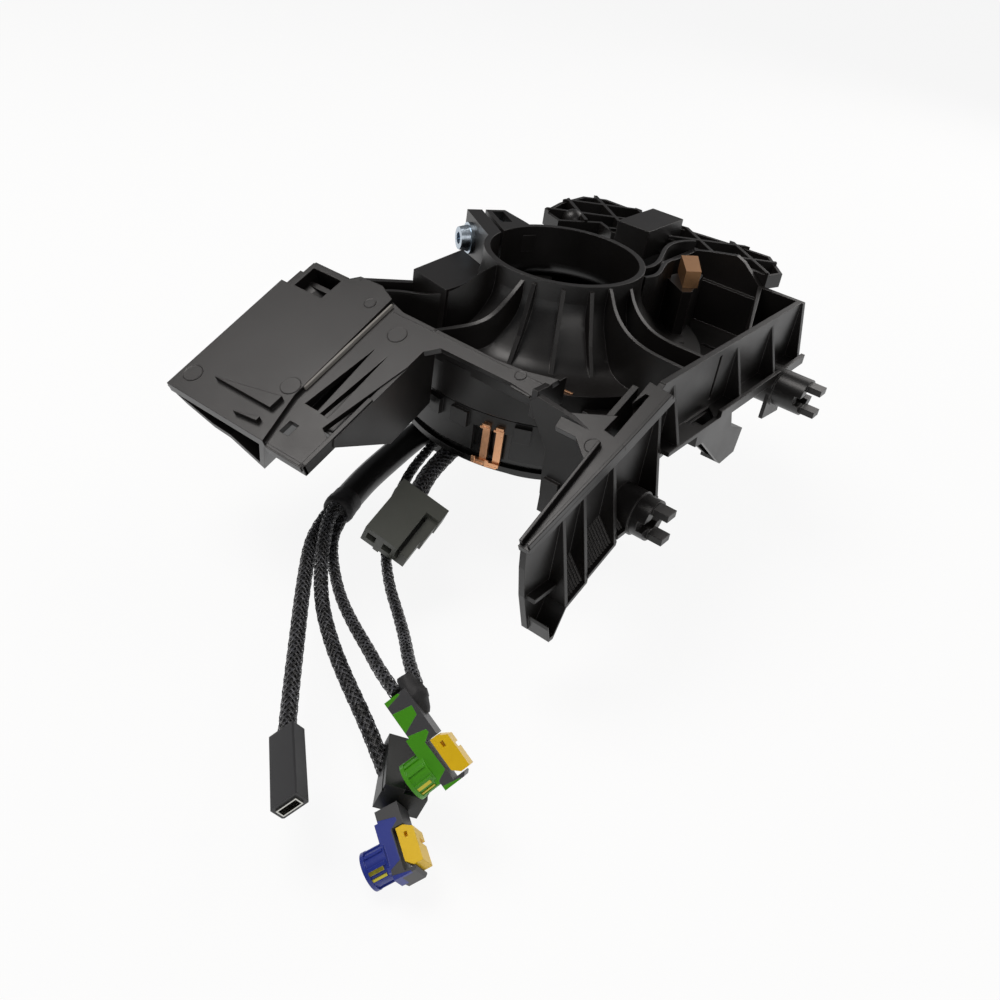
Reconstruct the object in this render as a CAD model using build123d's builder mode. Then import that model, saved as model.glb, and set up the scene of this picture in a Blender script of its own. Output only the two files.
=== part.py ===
"""Steering clock spring in its column housing.

The frame has its origin at the centre of the column collar's top edge, with +Z up along
the column. The sloping deck and the left switch box face -Y, the ribbed panel with its
two pegs faces +X, and the leads to the steering wheel hang below. Sizes are millimetres.
"""

from build123d import *
import math
import os

os.makedirs("parts", exist_ok=True)

# ---------------------------------------------------------------- driving dimensions
WALL = 2.0  # the housing's common wall
THIN = 1.4  # its thin ribs and fins
RUNNING = 0.05  # radial clearance of the rotor's journal
GAP = 0.4  # clearance between parts that pass each other

BORE_R = 25.0  # the column's tube
COLLAR_STRAIGHT = 6.0  # outside height of the collar before it flares
SKIRT_R = 51.5  # outer radius of the skirt round the stator drum
BELL_FOOT_R = SKIRT_R - 5.5
BELL_FOOT_Z = -25.0
SKIRT_Z = -37.0  # its lower edge

DECK_TILT = 25.0  # degrees, about X
DECK_Y = -34.0  # where the deck's plane starts to fall
DECK_Z = -10.0
DECK_T = 2.0

PANEL_X = 62.0  # outer face of the right panel
PANEL_FLARE = 6.5  # how far its ribs and ledge stand out at the bottom
TRAY_Z = -31.5  # underside of the right pocket's floor
POCKET_Y = 63.0  # outer face of the pocket's far wall
PANEL_TOP = DECK_Z

SEAT = 1.0  # width of the drum's seat in the skirt
CASE_R = SKIRT_R - WALL - SEAT  # stator drum
CASE_TOP = -27.6
CASE_BOTTOM = -55.0
CASE_WALL = 1.8
RIM_LIP = 1.5  # how far the drum's rim stands out
RIM_W = 6.0
RIM_R = CASE_R + RIM_LIP
RIM_H = 2.0
JOURNAL_R = 28.0  # rotor hub where it turns in the drum
HUB_R = 26.0  # inside of the hub
RIM_INNER_R = RIM_R - RIM_W
DISC_T = 2.4  # rotor disc, which turns inside the rim
COVER_STEP = 4.0  # how far the rotor's cover stays inside the rim
COVER_R = RIM_INNER_R - COVER_STEP
COVER_H = 4.5
BOSS_WALL = 4.0  # wall of the boss that the steering wheel seats on
BOSS_H = 12.0

GRID_TOP = -5.0  # top of the rear grid's ribs
GRID_H = 6.0
SNAP_ARMS_X = (30.0, 41.0)  # the grid's snap arms on the pocket's far wall
SNAP_W = 4.0
SNAP_Z = -26.0
SNAP_HOOK = 1.4

SCREW_D = 6.0  # clamp screw
WASHER_D = 11.0
WASHER_T = 1.2

# ---------------------------------------------------------------- planes and helpers
TILT = math.radians(DECK_TILT)
deck = Plane(
    origin=(0, DECK_Y, DECK_Z),
    x_dir=(1, 0, 0),
    z_dir=(0, -math.sin(TILT), math.cos(TILT)),
)


def deck_z(y):
    """Height of the deck's plane over a place y."""
    return DECK_Z + (y - DECK_Y) * math.tan(TILT)


def on_deck(points):
    """Points given by their places x, y, as local points of the deck's plane."""
    return [(x, (y - DECK_Y) / math.cos(TILT)) for x, y in points]


def slab(plane, points, depth, mode=Mode.ADD):
    """Extrude the outline drawn through some points on a plane."""
    with BuildSketch(plane) as outline:
        Polygon(*points, align=None)
    extrude(outline.sketch, amount=depth, mode=mode)


def block(low, high, mode=Mode.ADD):
    """A box between two corners."""
    size = [b - a for a, b in zip(low, high)]
    with Locations([tuple(low)]):
        Box(*size, align=(Align.MIN, Align.MIN, Align.MIN), mode=mode)


def rod(start, direction, radius, length, mode=Mode.ADD):
    """A cylinder that starts at a point and runs along a direction."""
    with Locations(Plane(origin=start, z_dir=direction)):
        Cylinder(
            radius, length, align=(Align.CENTER, Align.CENTER, Align.MIN), mode=mode
        )


def ring(outer, inner, bottom, top):
    """A flat ring about the column's axis."""
    with BuildSketch(Plane.XY.offset(bottom)) as outline:
        Circle(outer)
        Circle(inner, mode=Mode.SUBTRACT)
    extrude(outline.sketch, amount=top - bottom)


def save(builder, name, color):
    builder.part.label = name
    builder.part.color = Color(color)
    export_step(builder.part, f"parts/{name}.step")


def band(path, thickness, bottom, height):
    """A thin upright wall that follows a smooth path seen from above."""
    with BuildSketch(Plane.XY.offset(bottom)) as outline:
        trace(Spline(*path), line_width=thickness)
    return extrude(outline.sketch, amount=height, mode=Mode.PRIVATE)


# ---------------------------------------------------------------- bell section
# Outside and inside of the collar and bell, as radius and height.
flare = [
    (BORE_R + WALL, -COLLAR_STRAIGHT),
    (BORE_R + 4.2, -13.0),
    (BORE_R + 9.0, -19.5),
    (BELL_FOOT_R, BELL_FOOT_Z),
]
bore_end = -COLLAR_STRAIGHT - 7.0

with BuildSketch(Plane.XZ) as bell_section:
    with BuildLine():
        Polyline((0, 0), (BORE_R + WALL, 0), flare[0])
        Spline(*flare, tangents=[(0, -1), (1, 0)])
        Polyline(
            flare[-1],
            (SKIRT_R, BELL_FOOT_Z),
            (SKIRT_R, SKIRT_Z),
            (0, SKIRT_Z),
            (0, 0),
        )
    make_face()

with BuildSketch(Plane.XZ) as hollow_section:
    with BuildLine():
        Polyline((0, 1), (BORE_R, 1), (BORE_R, bore_end))
        Spline(
            (BORE_R, bore_end),
            (BORE_R + 6.2, -19.8),
            (BELL_FOOT_R - 2, BELL_FOOT_Z - WALL),
            tangents=[(0, -1), (1, 0)],
        )
        Polyline(
            (BELL_FOOT_R - 2, BELL_FOOT_Z - WALL),
            (SKIRT_R - WALL, BELL_FOOT_Z - WALL),
            (SKIRT_R - WALL, SKIRT_Z - 1),
            (0, SKIRT_Z - 1),
            (0, 1),
        )
    make_face()

# ---------------------------------------------------------------- housing
FIN_ANGLES = (-75.0, -55.3, -36.5)
FIN_FOOT_R = 41.0
PANEL_RIBS_Y = (-28.0, 13.6, 39.7)
LEDGE_H = 3.4
# Ribs of the lower panel: place y and the height of each rib's foot.
LOWER_RIBS = ((-35.0, -46.4), (-56.3, -51.9), (-69.2, -58.9), (-78.0, -62.8))
LOWER_FLARE = 6.8

ARCH = [(-8, -65), (-8, -58.5), (-4.2, -55), (23, -55), (31.8, -56)]
DECK_BACK = [(34.5, -47.5), (24, -49.6), (13.5, -50.3), (-25, -49.6), (-31, -48)]
DECK_LEFT = [(-31, -94), (-24, -107), (-9.3, -107), (-8.6, -96.5), (-14, -94)]
RAISED = [
    (-69, -106.5),
    (-25, -106.5),
    (-29.5, -90),
    (-31, -48),
    (-38, -45.2),
    (-47.4, -45.5),
    (-50.5, -48.3),
    (-66.5, -48.3),
    (-66.5, -58.8),
    (-70.5, -58.8),
]
WINDOW = [(-64.6, -58.5), (-52, -58.5), (-51.8, -50), (-64.6, -50)]
POCKETS = [
    [(-22.1, -64.8), (-25.5, -90.2), (-20, -90.2)],
    [(-16.4, -65.2), (-18.6, -90.6), (-15.3, -90.6)],
]
BOX_OUTER = [(-69.5, 0), (-62.5, -5), (-52, -9.5), (-45, -10), (-33, -17.5), (-25, 0)]
BOX_INNER = [(-67, -2), (-61.5, -3.4), (-52, -7.6), (-44, -8), (-33.7, -14.6), (-28, -2)]
BOX_MOUTH_Y = -106.5
BOX_END_Y = -52.0

PEG_R = 6.5
PEG_BORE_R = 3.0
PEG_BOSS_R = 7.1  # the thicker foot of a peg
PEG_BOSS = 7.0  # how far that foot stands out from the panel
PEG_SLOT = 2.2  # depth of the slot across a peg's end
PEG_SLOT_W = 3.2
UPPER_PEG = (45.0, -34.8, 17.0)  # y and z of the peg's axis, and its length
LOWER_PEG = (-46.0, -46.3, 12.0)
PRONG = 5.0

# The slit clamp: the slit's line starts at the bore and runs out between two jaws.
slit_start = Vector(-23.9, -2.6, 0)
slit_end = Vector(-42.5, 9.7, 0)
slit_dir = (slit_end - slit_start).normalized()
jaw_dir = Vector(-slit_dir.Y, slit_dir.X, 0)  # from the slit to the front jaw
JAW_T = 6.2
BACK_JAW_T = 8.0
LUG_H = 15.0
SLIT = 1.4
SCREW_Z = -8.0
screw_mid = slit_start + slit_dir * 15.5


def beside_slit(along, across):
    p = slit_start + slit_dir * along + jaw_dir * across
    return (p.X, p.Y)


LUG_END = (slit_end - slit_start).length

with BuildPart() as housing:
    # Collar, bell and skirt, solid at first.
    revolve(bell_section.sketch, axis=Axis.Z)

    # Fins on the bell.
    for angle in FIN_ANGLES:
        with BuildSketch(Plane.XZ.rotated((0, 0, angle))) as fin:
            Polygon(
                (BORE_R + 1, -1.4),
                (BORE_R + WALL + 0.8, -1.4),
                (BORE_R + 9.6, -16.5),
                (FIN_FOOT_R, BELL_FOOT_Z - 0.5),
                (BORE_R + 1, BELL_FOOT_Z - 0.5),
                align=None,
            )
        extrude(fin.sketch, amount=THIN / 2, both=True)

    # Floor of the right pocket and of the far side, outside the skirt.
    slab(
        Plane.XY.offset(TRAY_Z),
        [
            (PANEL_X, DECK_Y - 2),
            (PANEL_X, POCKET_Y),
            (-16, POCKET_Y),
            (-30, 40),
            (20, 30),
            (38, -30),
            (38, DECK_Y - 2),
        ],
        WALL,
    )

    # Right panel with its gussets and bottom ledge.
    block((PANEL_X - WALL, DECK_Y - 1, TRAY_Z), (PANEL_X, POCKET_Y, PANEL_TOP))
    for y in PANEL_RIBS_Y:
        slab(
            Plane.XZ.offset(-y),
            [
                (PANEL_X - 0.5, PANEL_TOP - 1),
                (PANEL_X + PANEL_FLARE, TRAY_Z),
                (PANEL_X - 0.5, TRAY_Z),
            ],
            THIN,
        )
    slab(
        Plane.XZ.offset(-POCKET_Y),
        [
            (PANEL_X - 0.5, PANEL_TOP),
            (PANEL_X + 0.6, PANEL_TOP),
            (PANEL_X + PANEL_FLARE - 1.5, TRAY_Z),
            (PANEL_X - 0.5, TRAY_Z),
        ],
        WALL,
    )
    block(
        (PANEL_X - WALL, DECK_Y - 1, TRAY_Z),
        (PANEL_X + PANEL_FLARE, POCKET_Y, TRAY_Z + THIN),
    )
    block(
        (PANEL_X + PANEL_FLARE - THIN, -2, TRAY_Z),
        (PANEL_X + PANEL_FLARE, POCKET_Y, TRAY_Z + LEDGE_H),
    )
    # The cut beside the middle gusset, and the fin under the ledge.
    block(
        (PANEL_X - WALL - 1, 0, TRAY_Z + 4),
        (PANEL_X + 0.1, 1.6, PANEL_TOP - 2),
        mode=Mode.SUBTRACT,
    )
    slab(
        Plane.YZ.offset(PANEL_X + PANEL_FLARE - THIN),
        [(38, TRAY_Z + 0.5), (38, -45.5), (52, -47), (50, TRAY_Z + 0.5)],
        THIN,
    )

    # Far wall, its inner ledge and the slanting partition.
    slab(
        Plane.XZ.offset(-POCKET_Y),
        [
            (-16, TRAY_Z),
            (PANEL_X, TRAY_Z),
            (PANEL_X, PANEL_TOP),
            (45.6, PANEL_TOP),
            (37.5, -3.6),
            (34, -2.2),
            (24.5, -4),
            (16, -6),
            (5.4, -7),
            (5.4, GRID_TOP - GRID_H - GAP),
            (-16, GRID_TOP - GRID_H - GAP),
        ],
        WALL,
    )
    block((19, POCKET_Y - 4, TRAY_Z), (46, POCKET_Y - 1, -14.3))
    slab(
        Plane.XY.offset(TRAY_Z),
        [(60.5, 23.5), (46.2, POCKET_Y - 1), (44.6, POCKET_Y - 1), (60.5, 21.5)],
        PANEL_TOP - TRAY_Z,
    )
    # Snap slots in the pocket's floor, and those of the grid's arms in the far wall.
    for x in (24, 38):
        block((x, 40, TRAY_Z - 1), (x + 8, 42, TRAY_Z + WALL + 1), mode=Mode.SUBTRACT)
    for x in SNAP_ARMS_X:
        block(
            (x - GAP, POCKET_Y - SNAP_HOOK - GAP, SNAP_Z - GAP),
            (x + SNAP_W + GAP, POCKET_Y + 1, SNAP_Z + SNAP_HOOK + GAP),
            mode=Mode.SUBTRACT,
        )

    # Wall pair from the collar to the grid, and the post of the contact block.
    low = BELL_FOOT_Z - 0.5
    for path in (
        [(19.0, 19.0), (20.0, 25.0), (16.3, 38.0), (16.5, 62.0)],
        [(24.0, 13.0), (25.0, 20.0), (21.5, 31.0), (21.5, 37.0)],
    ):
        add(band(path, THIN, low, -low - 2.5))
    slab(
        Plane.XY.offset(TRAY_Z),
        [(20.5, 36), (31.5, 28.5), (33.5, 31.5), (28, 50), (22.5, 50)],
        -TRAY_Z - 9,
    )
    block((16, 36, TRAY_Z), (18, POCKET_Y - 1, -6))

    # Deck: the plane strip with its arch, then the raised plate on its left.
    slab(deck, on_deck(DECK_LEFT + ARCH + DECK_BACK), -DECK_T)
    slab(deck.offset(-DECK_T), on_deck(RAISED), DECK_T + 1.5)
    # Left switch box under the raised plate.
    mouth = deck.origin + deck.y_dir * ((BOX_MOUTH_Y - DECK_Y) / math.cos(TILT))
    mouth_plane = Plane(origin=mouth, x_dir=(1, 0, 0), z_dir=deck.y_dir)
    box_length = (BOX_END_Y - BOX_MOUTH_Y) / math.cos(TILT)
    slab(mouth_plane, [(x, -z) for x, z in BOX_OUTER], box_length)
    slab(
        mouth_plane.offset(-1),
        [(x, -z) for x, z in BOX_INNER],
        box_length - WALL + 1,
        mode=Mode.SUBTRACT,
    )
    slab(deck.offset(2), on_deck(WINDOW), -4.6, mode=Mode.SUBTRACT)
    # Wedge pockets of the strip and the see-through eye of the tab.
    for pocket in POCKETS:
        slab(deck.offset(1), on_deck(pocket), -DECK_T - 3, mode=Mode.SUBTRACT)
    slab(
        deck.offset(1),
        on_deck([(-24.6, -101), (-24.6, -96.8), (-20.8, -96.8), (-20.8, -101)]),
        -DECK_T - 4,
        mode=Mode.SUBTRACT,
    )
    # Wedges that stiffen the plate behind its mouth.
    for tip, wide in (((-55.5, -98), (-93, -97.7)), ((-40, -104), (-101.5, -103))):
        slab(
            deck.offset(1.2),
            on_deck([tip, (-31, wide[0]), (-31, wide[1])]),
            2.0,
        )

    # Wall under the strip's back edge, down to the bell's foot.
    slab(
        Plane.XZ.offset(51.2),
        [(-30, deck_z(-51)), (33, deck_z(-51)), (33, -26.5), (-30, -26.5)],
        -THIN,
    )
    # Cheek on the left of the arch.
    cheek_y = -SKIRT_R - 1.2
    slab(
        Plane.YZ.offset(-10),
        [
            (-95, deck_z(-95) - 0.5),
            (cheek_y, deck_z(cheek_y) - 0.5),
            (cheek_y, -41.4),
            (-70, -50),
            (-95, deck_z(-95) - 3),
        ],
        THIN + 0.6,
    )
    # Flank on the right of the arch, its foot and the web behind it.
    slab(
        Plane.XZ.offset(57.5),
        [
            (31.8, -21.5),
            (34.5, -18.5),
            (43, -19.5),
            (60, -22),
            (61, -30),
            (54, -37),
            (51.2, -44),
            (41, -48.6),
            (40.3, -39.9),
            (40.1, -33.4),
        ],
        -WALL,
    )
    block((42, -59, -53.5), (47.5, -55.6, -42))
    block((31.8, -56.5, -26.5), (33.8, -42, -17.6))
    # Lug plate beside the arch.
    slab(
        deck,
        on_deck([(43, -56), (61, -48), (63, -59), (60, -67.5), (51, -61), (44, -61)]),
        -DECK_T,
    )

    # Lower panel: its top follows the deck, its foot comes down in steps.
    lower_foot = [(-91, -57), (-86, -71.5), (-82.5, -71.8), (-79, -63.3), (-70, -59.2)]
    lower_foot += [(-69, -57.6), (-57, -52.4), (-56, -50.4), (-48, -50.2), (DECK_Y + 1, -46)]
    slab(
        Plane.YZ.offset(PANEL_X - WALL),
        [(DECK_Y, DECK_Z), (-94.5, deck_z(-94.5)), (-93.5, -46)]
        + lower_foot
        + [(DECK_Y + 1, DECK_Z)],
        WALL,
    )
    slab(
        deck,
        on_deck([(57.5, -36), (66.5, -37), (65.5, -58), (63, -95), (59.5, -95), (58, -60)]),
        -DECK_T,
    )
    # Inner wall of the slot between the lower panel and the deck's lug.
    slab(
        Plane.YZ.offset(52.5),
        [(-36, -14), (-58, -24), (-58, -33), (-36, -33)],
        WALL,
    )
    slab(
        Plane.XY.offset(-34.5),
        [(52.5, -36), (60.5, -36), (60.5, -58), (52.5, -58)],
        WALL,
    )
    slab(
        deck.offset(0.5),
        on_deck([(56.5, -55.5), (57, -47), (59, -40), (60.2, -40), (60.2, -56)]),
        -DECK_T - 1,
        mode=Mode.SUBTRACT,
    )
    # Ribs and stepped floors outside the lower panel.
    for y, foot in LOWER_RIBS:
        slab(
            Plane.XZ.offset(-y),
            [
                (PANEL_X - 0.5, deck_z(y) - 1.5),
                (PANEL_X + LOWER_FLARE, foot),
                (PANEL_X - 0.5, foot),
            ],
            THIN,
        )
    for floor in (
        [(-35, -45.4), (-48, -49.4), (-56.3, -49.5)],
        [(-56.3, -51.5), (-69.2, -57)],
        [(-69.2, -58.5), (-78.5, -62.5)],
        [(-78.5, -62.5), (-82.5, -71.5), (-84.5, -71.5), (-86.5, -66)],
    ):
        under = [(y, z - THIN) for y, z in reversed(floor)]
        slab(Plane.YZ.offset(PANEL_X - WALL), floor + under, WALL + LOWER_FLARE)
    block((PANEL_X - WALL, -90, -58), (PANEL_X + 3, -80, -56.6))

    # Strap that bows out under the ledge, and the gap behind it.
    strap = [(-17, TRAY_Z + 1), (-16.5, -35.5), (-11, -36), (9.4, -52.3), (19.5, -51.6)]
    strap += [(20.9, -42.6), (10, -38), (6, TRAY_Z + 1)]
    strap_plane = Plane.YZ.offset(PANEL_X + PANEL_FLARE - THIN)
    slab(strap_plane, strap, THIN)
    slab(strap_plane, [(-17, TRAY_Z + 0.5), (-16.5, -35.5), (-11, -36), (-6, TRAY_Z)], -6)
    slab(strap_plane, [(9.4, -52.3), (19.5, -51.6), (19.5, -50.2), (9.4, -50.9)], -6)
    slab(strap_plane, [(19.5, -51.6), (20.9, -42.6), (19.5, -42.6), (18.1, -51.6)], -6)
    slab(strap_plane, [(6, TRAY_Z + 0.5), (10, -38), (20.9, -42.6), (20.9, -44), (8.6, -39)], -6)
    slab(
        Plane.XY.offset(TRAY_Z - 1),
        [(PANEL_X + 0.6, -15), (PANEL_X + 5, -12), (PANEL_X + 5, -4), (PANEL_X + 0.6, 1)],
        WALL + 2,
        mode=Mode.SUBTRACT,
    )

    # Two split pegs, each on a thicker foot.
    for y, z, length in (UPPER_PEG, LOWER_PEG):
        rod((PANEL_X - 1, y, z), (1, 0, 0), PEG_BOSS_R, PEG_BOSS + 1)
        rod((PANEL_X - 1, y, z), (1, 0, 0), PEG_R, length + 1)
        for side in (-1, 1):
            block(
                (PANEL_X + length - 0.5, y - 2.4, z + side * 4.2 - 1.1),
                (PANEL_X + length + PRONG, y + 2.4, z + side * 4.2 + 1.1),
            )
        rod((PANEL_X + 3, y, z), (1, 0, 0), PEG_BORE_R, length, mode=Mode.SUBTRACT)
        block(
            (PANEL_X + length - PEG_SLOT, y - PEG_R - 1, z - PEG_SLOT_W / 2),
            (PANEL_X + length + 1, y + PEG_R + 1, z + PEG_SLOT_W / 2),
            mode=Mode.SUBTRACT,
        )

    # Block on the left of the bell, with the wall that ties it to the deck.
    slab(
        Plane.XY.offset(BELL_FOOT_Z - 1),
        [(-37.9, -6), (-17, -15), (-18, -38), (-35.5, -34)],
        -BELL_FOOT_Z - 9,
    )
    slab(
        Plane.XY.offset(BELL_FOOT_Z - 1),
        [(-36.5, -33), (-35, -34.2), (-46, -47.5), (-48, -46.6)],
        -BELL_FOOT_Z - 13.5,
    )
    slab(
        Plane.XY.offset(BELL_FOOT_Z - 1),
        [(-47, -46), (-30, -38), (-20, -45), (-25, -51), (-45, -50)],
        WALL,
    )

    # Channel walls that sweep from the collar down to the right panel.
    right_top = [(24, 0), (25.5, -1.0), (29, -4.5), (34, -7.6), (42, -9.7), (PANEL_X, -10)]
    with BuildSketch(Plane.XZ) as right_side:
        with BuildLine():
            skirt_in = SKIRT_R - WALL / 2
            Polyline((24, 0), (24, BELL_FOOT_Z - 1), (skirt_in, BELL_FOOT_Z - 1))
            Polyline((skirt_in, BELL_FOOT_Z - 1), (skirt_in, TRAY_Z), (PANEL_X, TRAY_Z))
            Line((PANEL_X, TRAY_Z), (PANEL_X, -10))
            Spline(*right_top[::-1])
        make_face()
    right_reach = extrude(right_side.sketch, amount=40, both=True, mode=Mode.PRIVATE)
    for path in (
        [(25.6, 0.5), (33, -4), (42, -7.6), (52, -8.8), (61, -9.3)],
        [(24, -9.5), (31, -14), (42, -18.6), (52, -20.6), (61, -21.5)],
    ):
        wall = band(path, THIN, TRAY_Z, -TRAY_Z)
        add(wall & right_reach)

    # The same on the left, down to the deck's back edge.
    with BuildSketch(Plane.XZ) as left_side:
        with BuildLine():
            Polyline((-8, -0.6), (-8, BELL_FOOT_Z - 1), (-42, BELL_FOOT_Z - 1))
            Line((-42, BELL_FOOT_Z - 1), (-42, -15.2))
            Spline((-42, -15.2), (-30, -14.8), (-21, -12.5), (-14, -7.5), (-10.4, -3), (-8, -0.6))
        make_face()
    left_reach = extrude(left_side.sketch, amount=60, mode=Mode.PRIVATE)
    outer_left = band(
        [(-9.2, -25), (-11.4, -31.5), (-17, -35.5), (-27, -38.5), (-37.5, -46)],
        THIN, BELL_FOOT_Z - 1, -BELL_FOOT_Z + 1,
    )
    add(outer_left & left_reach)
    with BuildSketch(Plane.YZ) as inner_side:
        with BuildLine():
            Polyline((-26, -1.2), (-26, BELL_FOOT_Z - 1), (-51, BELL_FOOT_Z - 1))
            Line((-51, BELL_FOOT_Z - 1), (-51, -17.6))
            Spline((-51, -17.6), (-44, -16.6), (-38, -13.8), (-33, -8), (-28.5, -3), (-26, -1.2))
        make_face()
    inner_reach = extrude(inner_side.sketch, amount=40, both=True, mode=Mode.PRIVATE)
    inner_left = band(
        [(2.8, -26), (1.6, -33), (-1.6, -38), (-6.5, -43.5), (-11, -50.5)],
        THIN, BELL_FOOT_Z - 1, -BELL_FOOT_Z + 1,
    )
    add(inner_left & inner_reach)

    # Clamp jaws with their gusset.
    slab(
        Plane.XY.offset(-LUG_H),
        [
            beside_slit(-2, JAW_T),
            beside_slit(LUG_END, JAW_T),
            beside_slit(LUG_END, -BACK_JAW_T),
            beside_slit(10, -BACK_JAW_T - 4),
            beside_slit(-12, -BACK_JAW_T - 9),
            beside_slit(-6, 0),
        ],
        LUG_H,
    )

    # The hollow of the bore, bell and skirt.
    revolve(hollow_section.sketch, axis=Axis.Z, mode=Mode.SUBTRACT)

    # Slit, screw hole and nut slot.
    slab(
        Plane.XY.offset(-LUG_H - 12),
        [
            beside_slit(-3, SLIT / 2),
            beside_slit(LUG_END + 1, SLIT / 2),
            beside_slit(LUG_END + 1, -SLIT / 2),
            beside_slit(-3, -SLIT / 2),
        ],
        LUG_H + 13,
        mode=Mode.SUBTRACT,
    )
    hole_start = screw_mid + jaw_dir * (JAW_T + 1) + Vector(0, 0, SCREW_Z)
    rod(hole_start, -jaw_dir, SCREW_D / 2 + 0.25, JAW_T + BACK_JAW_T + 14, Mode.SUBTRACT)
    slab(
        Plane.XY.offset(SCREW_Z - 5.2),
        [
            beside_slit(15.5 - 5.2, -2.6),
            beside_slit(15.5 + 5.2, -2.6),
            beside_slit(15.5 + 5.2, -6.8),
            beside_slit(15.5 - 5.2, -6.8),
        ],
        -SCREW_Z + 7,
        mode=Mode.SUBTRACT,
    )
save(housing, "housing", 0x2B2A29)

# ---------------------------------------------------------------- rear grid panel
GRID_FLOOR = 1.4
GRID_RIB = 1.3
GRID_PITCH = 13.5
GRID_OUTLINE = [
    (-40, 45), (-42.6, 59), (-42, 75), (-34.5, 81), (-17.5, 80.6), (-2.5, 79), (11, 81),
    (24, 82.5), (38, 83.5), (49, 70.5), (46.5, POCKET_Y + GAP), (20, POCKET_Y + GAP),
    (3.5, POCKET_Y + GAP), (3.5, 51), (-12, 49.6), (-20, 54), (-30.5, 41),
]
CAP_LOW = (-8.5, 46.5, GRID_TOP - GRID_H + 0.5)
CAP_HIGH = (5.0, 72.0, 0.0)
DOME = (-31.0, 52.0)

with BuildPart() as rear_grid:
    with BuildSketch(Plane.XY.offset(GRID_TOP - GRID_H)) as base:
        Polygon(*GRID_OUTLINE, align=None)
    extrude(base.sketch, amount=GRID_FLOOR)
    with BuildSketch(Plane.XY.offset(GRID_TOP - GRID_H)) as rim:
        add(base.sketch)
        offset(base.sketch, amount=-GRID_RIB, kind=Kind.INTERSECTION, mode=Mode.SUBTRACT)
    extrude(rim.sketch, amount=GRID_H - 1)
    # Diagonal ribs, trimmed to the outline.
    with BuildSketch(Plane.XY.offset(GRID_TOP - GRID_H)) as lattice:
        for turn in (38, -38):
            with Locations(Location((3, 63), turn)):
                with GridLocations(1, GRID_PITCH, 1, 9):
                    Rectangle(150, GRID_RIB)
        add(base.sketch, mode=Mode.INTERSECT)
    extrude(lattice.sketch, amount=GRID_H)
    with Locations((DOME[0], DOME[1], GRID_TOP - 1.0)):
        Sphere(4.2, arc_size1=0)
    block(CAP_LOW, CAP_HIGH)
    # Snap arms that hook over the pocket's far wall.
    outer = POCKET_Y + GAP + THIN
    for x in SNAP_ARMS_X:
        block((x, POCKET_Y + GAP, SNAP_Z), (x + SNAP_W, outer, GRID_TOP - 2))
        block((x, POCKET_Y - SNAP_HOOK, SNAP_Z), (x + SNAP_W, outer, SNAP_Z + SNAP_HOOK))
save(rear_grid, "rear_grid", 0x2E2D2B)

# ---------------------------------------------------------------- clamp hardware
front_face = screw_mid + jaw_dir * JAW_T + Vector(0, 0, SCREW_Z)
NUT = 5.0
NUT_T = 3.6
with BuildPart() as clamp_screw:
    with BuildSketch(Plane(origin=front_face + jaw_dir * WASHER_T, z_dir=jaw_dir)) as head:
        Circle(4.6)
    extrude(head.sketch, amount=3.2, taper=12)
    with BuildSketch(
        Plane(origin=front_face + jaw_dir * (WASHER_T + 3.2), z_dir=jaw_dir)
    ) as socket:
        RegularPolygon(2.2, 6)
        RegularPolygon(2.2, 6, rotation=30)
    extrude(socket.sketch, amount=-1.8, mode=Mode.SUBTRACT)
    rod(front_face + jaw_dir * WASHER_T, -jaw_dir, SCREW_D / 2, JAW_T + WASHER_T + 9)
save(clamp_screw, "clamp_screw", 0xB9BDBF)

with BuildPart() as clamp_washer:
    with BuildSketch(Plane(origin=front_face, z_dir=jaw_dir)) as outline:
        Circle(WASHER_D / 2)
        Circle(SCREW_D / 2 + 0.2, mode=Mode.SUBTRACT)
    extrude(outline.sketch, amount=WASHER_T)
save(clamp_washer, "clamp_washer", 0xAFC0CC)

with BuildPart() as clamp_nut:
    nut_plane = Plane(
        origin=screw_mid - jaw_dir * 3.0 + Vector(0, 0, SCREW_Z), x_dir=slit_dir, z_dir=-jaw_dir
    )
    with BuildSketch(nut_plane) as outline:
        Rectangle(2 * NUT, 2 * NUT)
        Circle(SCREW_D / 2, mode=Mode.SUBTRACT)
    extrude(outline.sketch, amount=NUT_T)
save(clamp_nut, "clamp_nut", 0xB9BDBF)

# ---------------------------------------------------------------- contact block, catch
with BuildPart() as contact_block:
    slab(
        Plane.XY.offset(-9.0),
        [(20.5, 44.5), (24.5, 49.5), (33, 36.5), (29.5, 32)],
        6.0,
    )
save(contact_block, "contact_block", 0xA9784F)

with BuildPart() as catch_lever:
    with BuildSketch(Plane.XY.offset(-20.0)) as outline:
        with BuildLine():
            Polyline((-24.6, 6), (-21.5, 9), (-14, 16.5), (-15.2, 19), (-17, 18.2), (-24.2, 11))
            Line((-24.2, 11), (-24.6, 6))
        make_face()
    extrude(outline.sketch, amount=2.0)
save(catch_lever, "catch_lever", 0x55534F)

# ---------------------------------------------------------------- stator drum
with BuildPart() as stator_case:
    with BuildSketch(Plane.XZ) as section:
        Polygon(
            (JOURNAL_R + RUNNING, CASE_TOP),
            (CASE_R, CASE_TOP),
            (CASE_R, CASE_BOTTOM),
            (CASE_R - CASE_WALL, CASE_BOTTOM),
            (CASE_R - CASE_WALL, CASE_TOP - CASE_WALL),
            (JOURNAL_R + RUNNING, CASE_TOP - CASE_WALL),
            align=None,
        )
    revolve(section.sketch, axis=Axis.Z)
    # Seat in the skirt.
    with BuildSketch(Plane.XY.offset(CASE_TOP - 6)) as seat:
        Circle(SKIRT_R - WALL)
        Circle(CASE_R - CASE_WALL / 2, mode=Mode.SUBTRACT)
    extrude(seat.sketch, amount=4)
save(stator_case, "stator_case", 0x1C1B1A)

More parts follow.
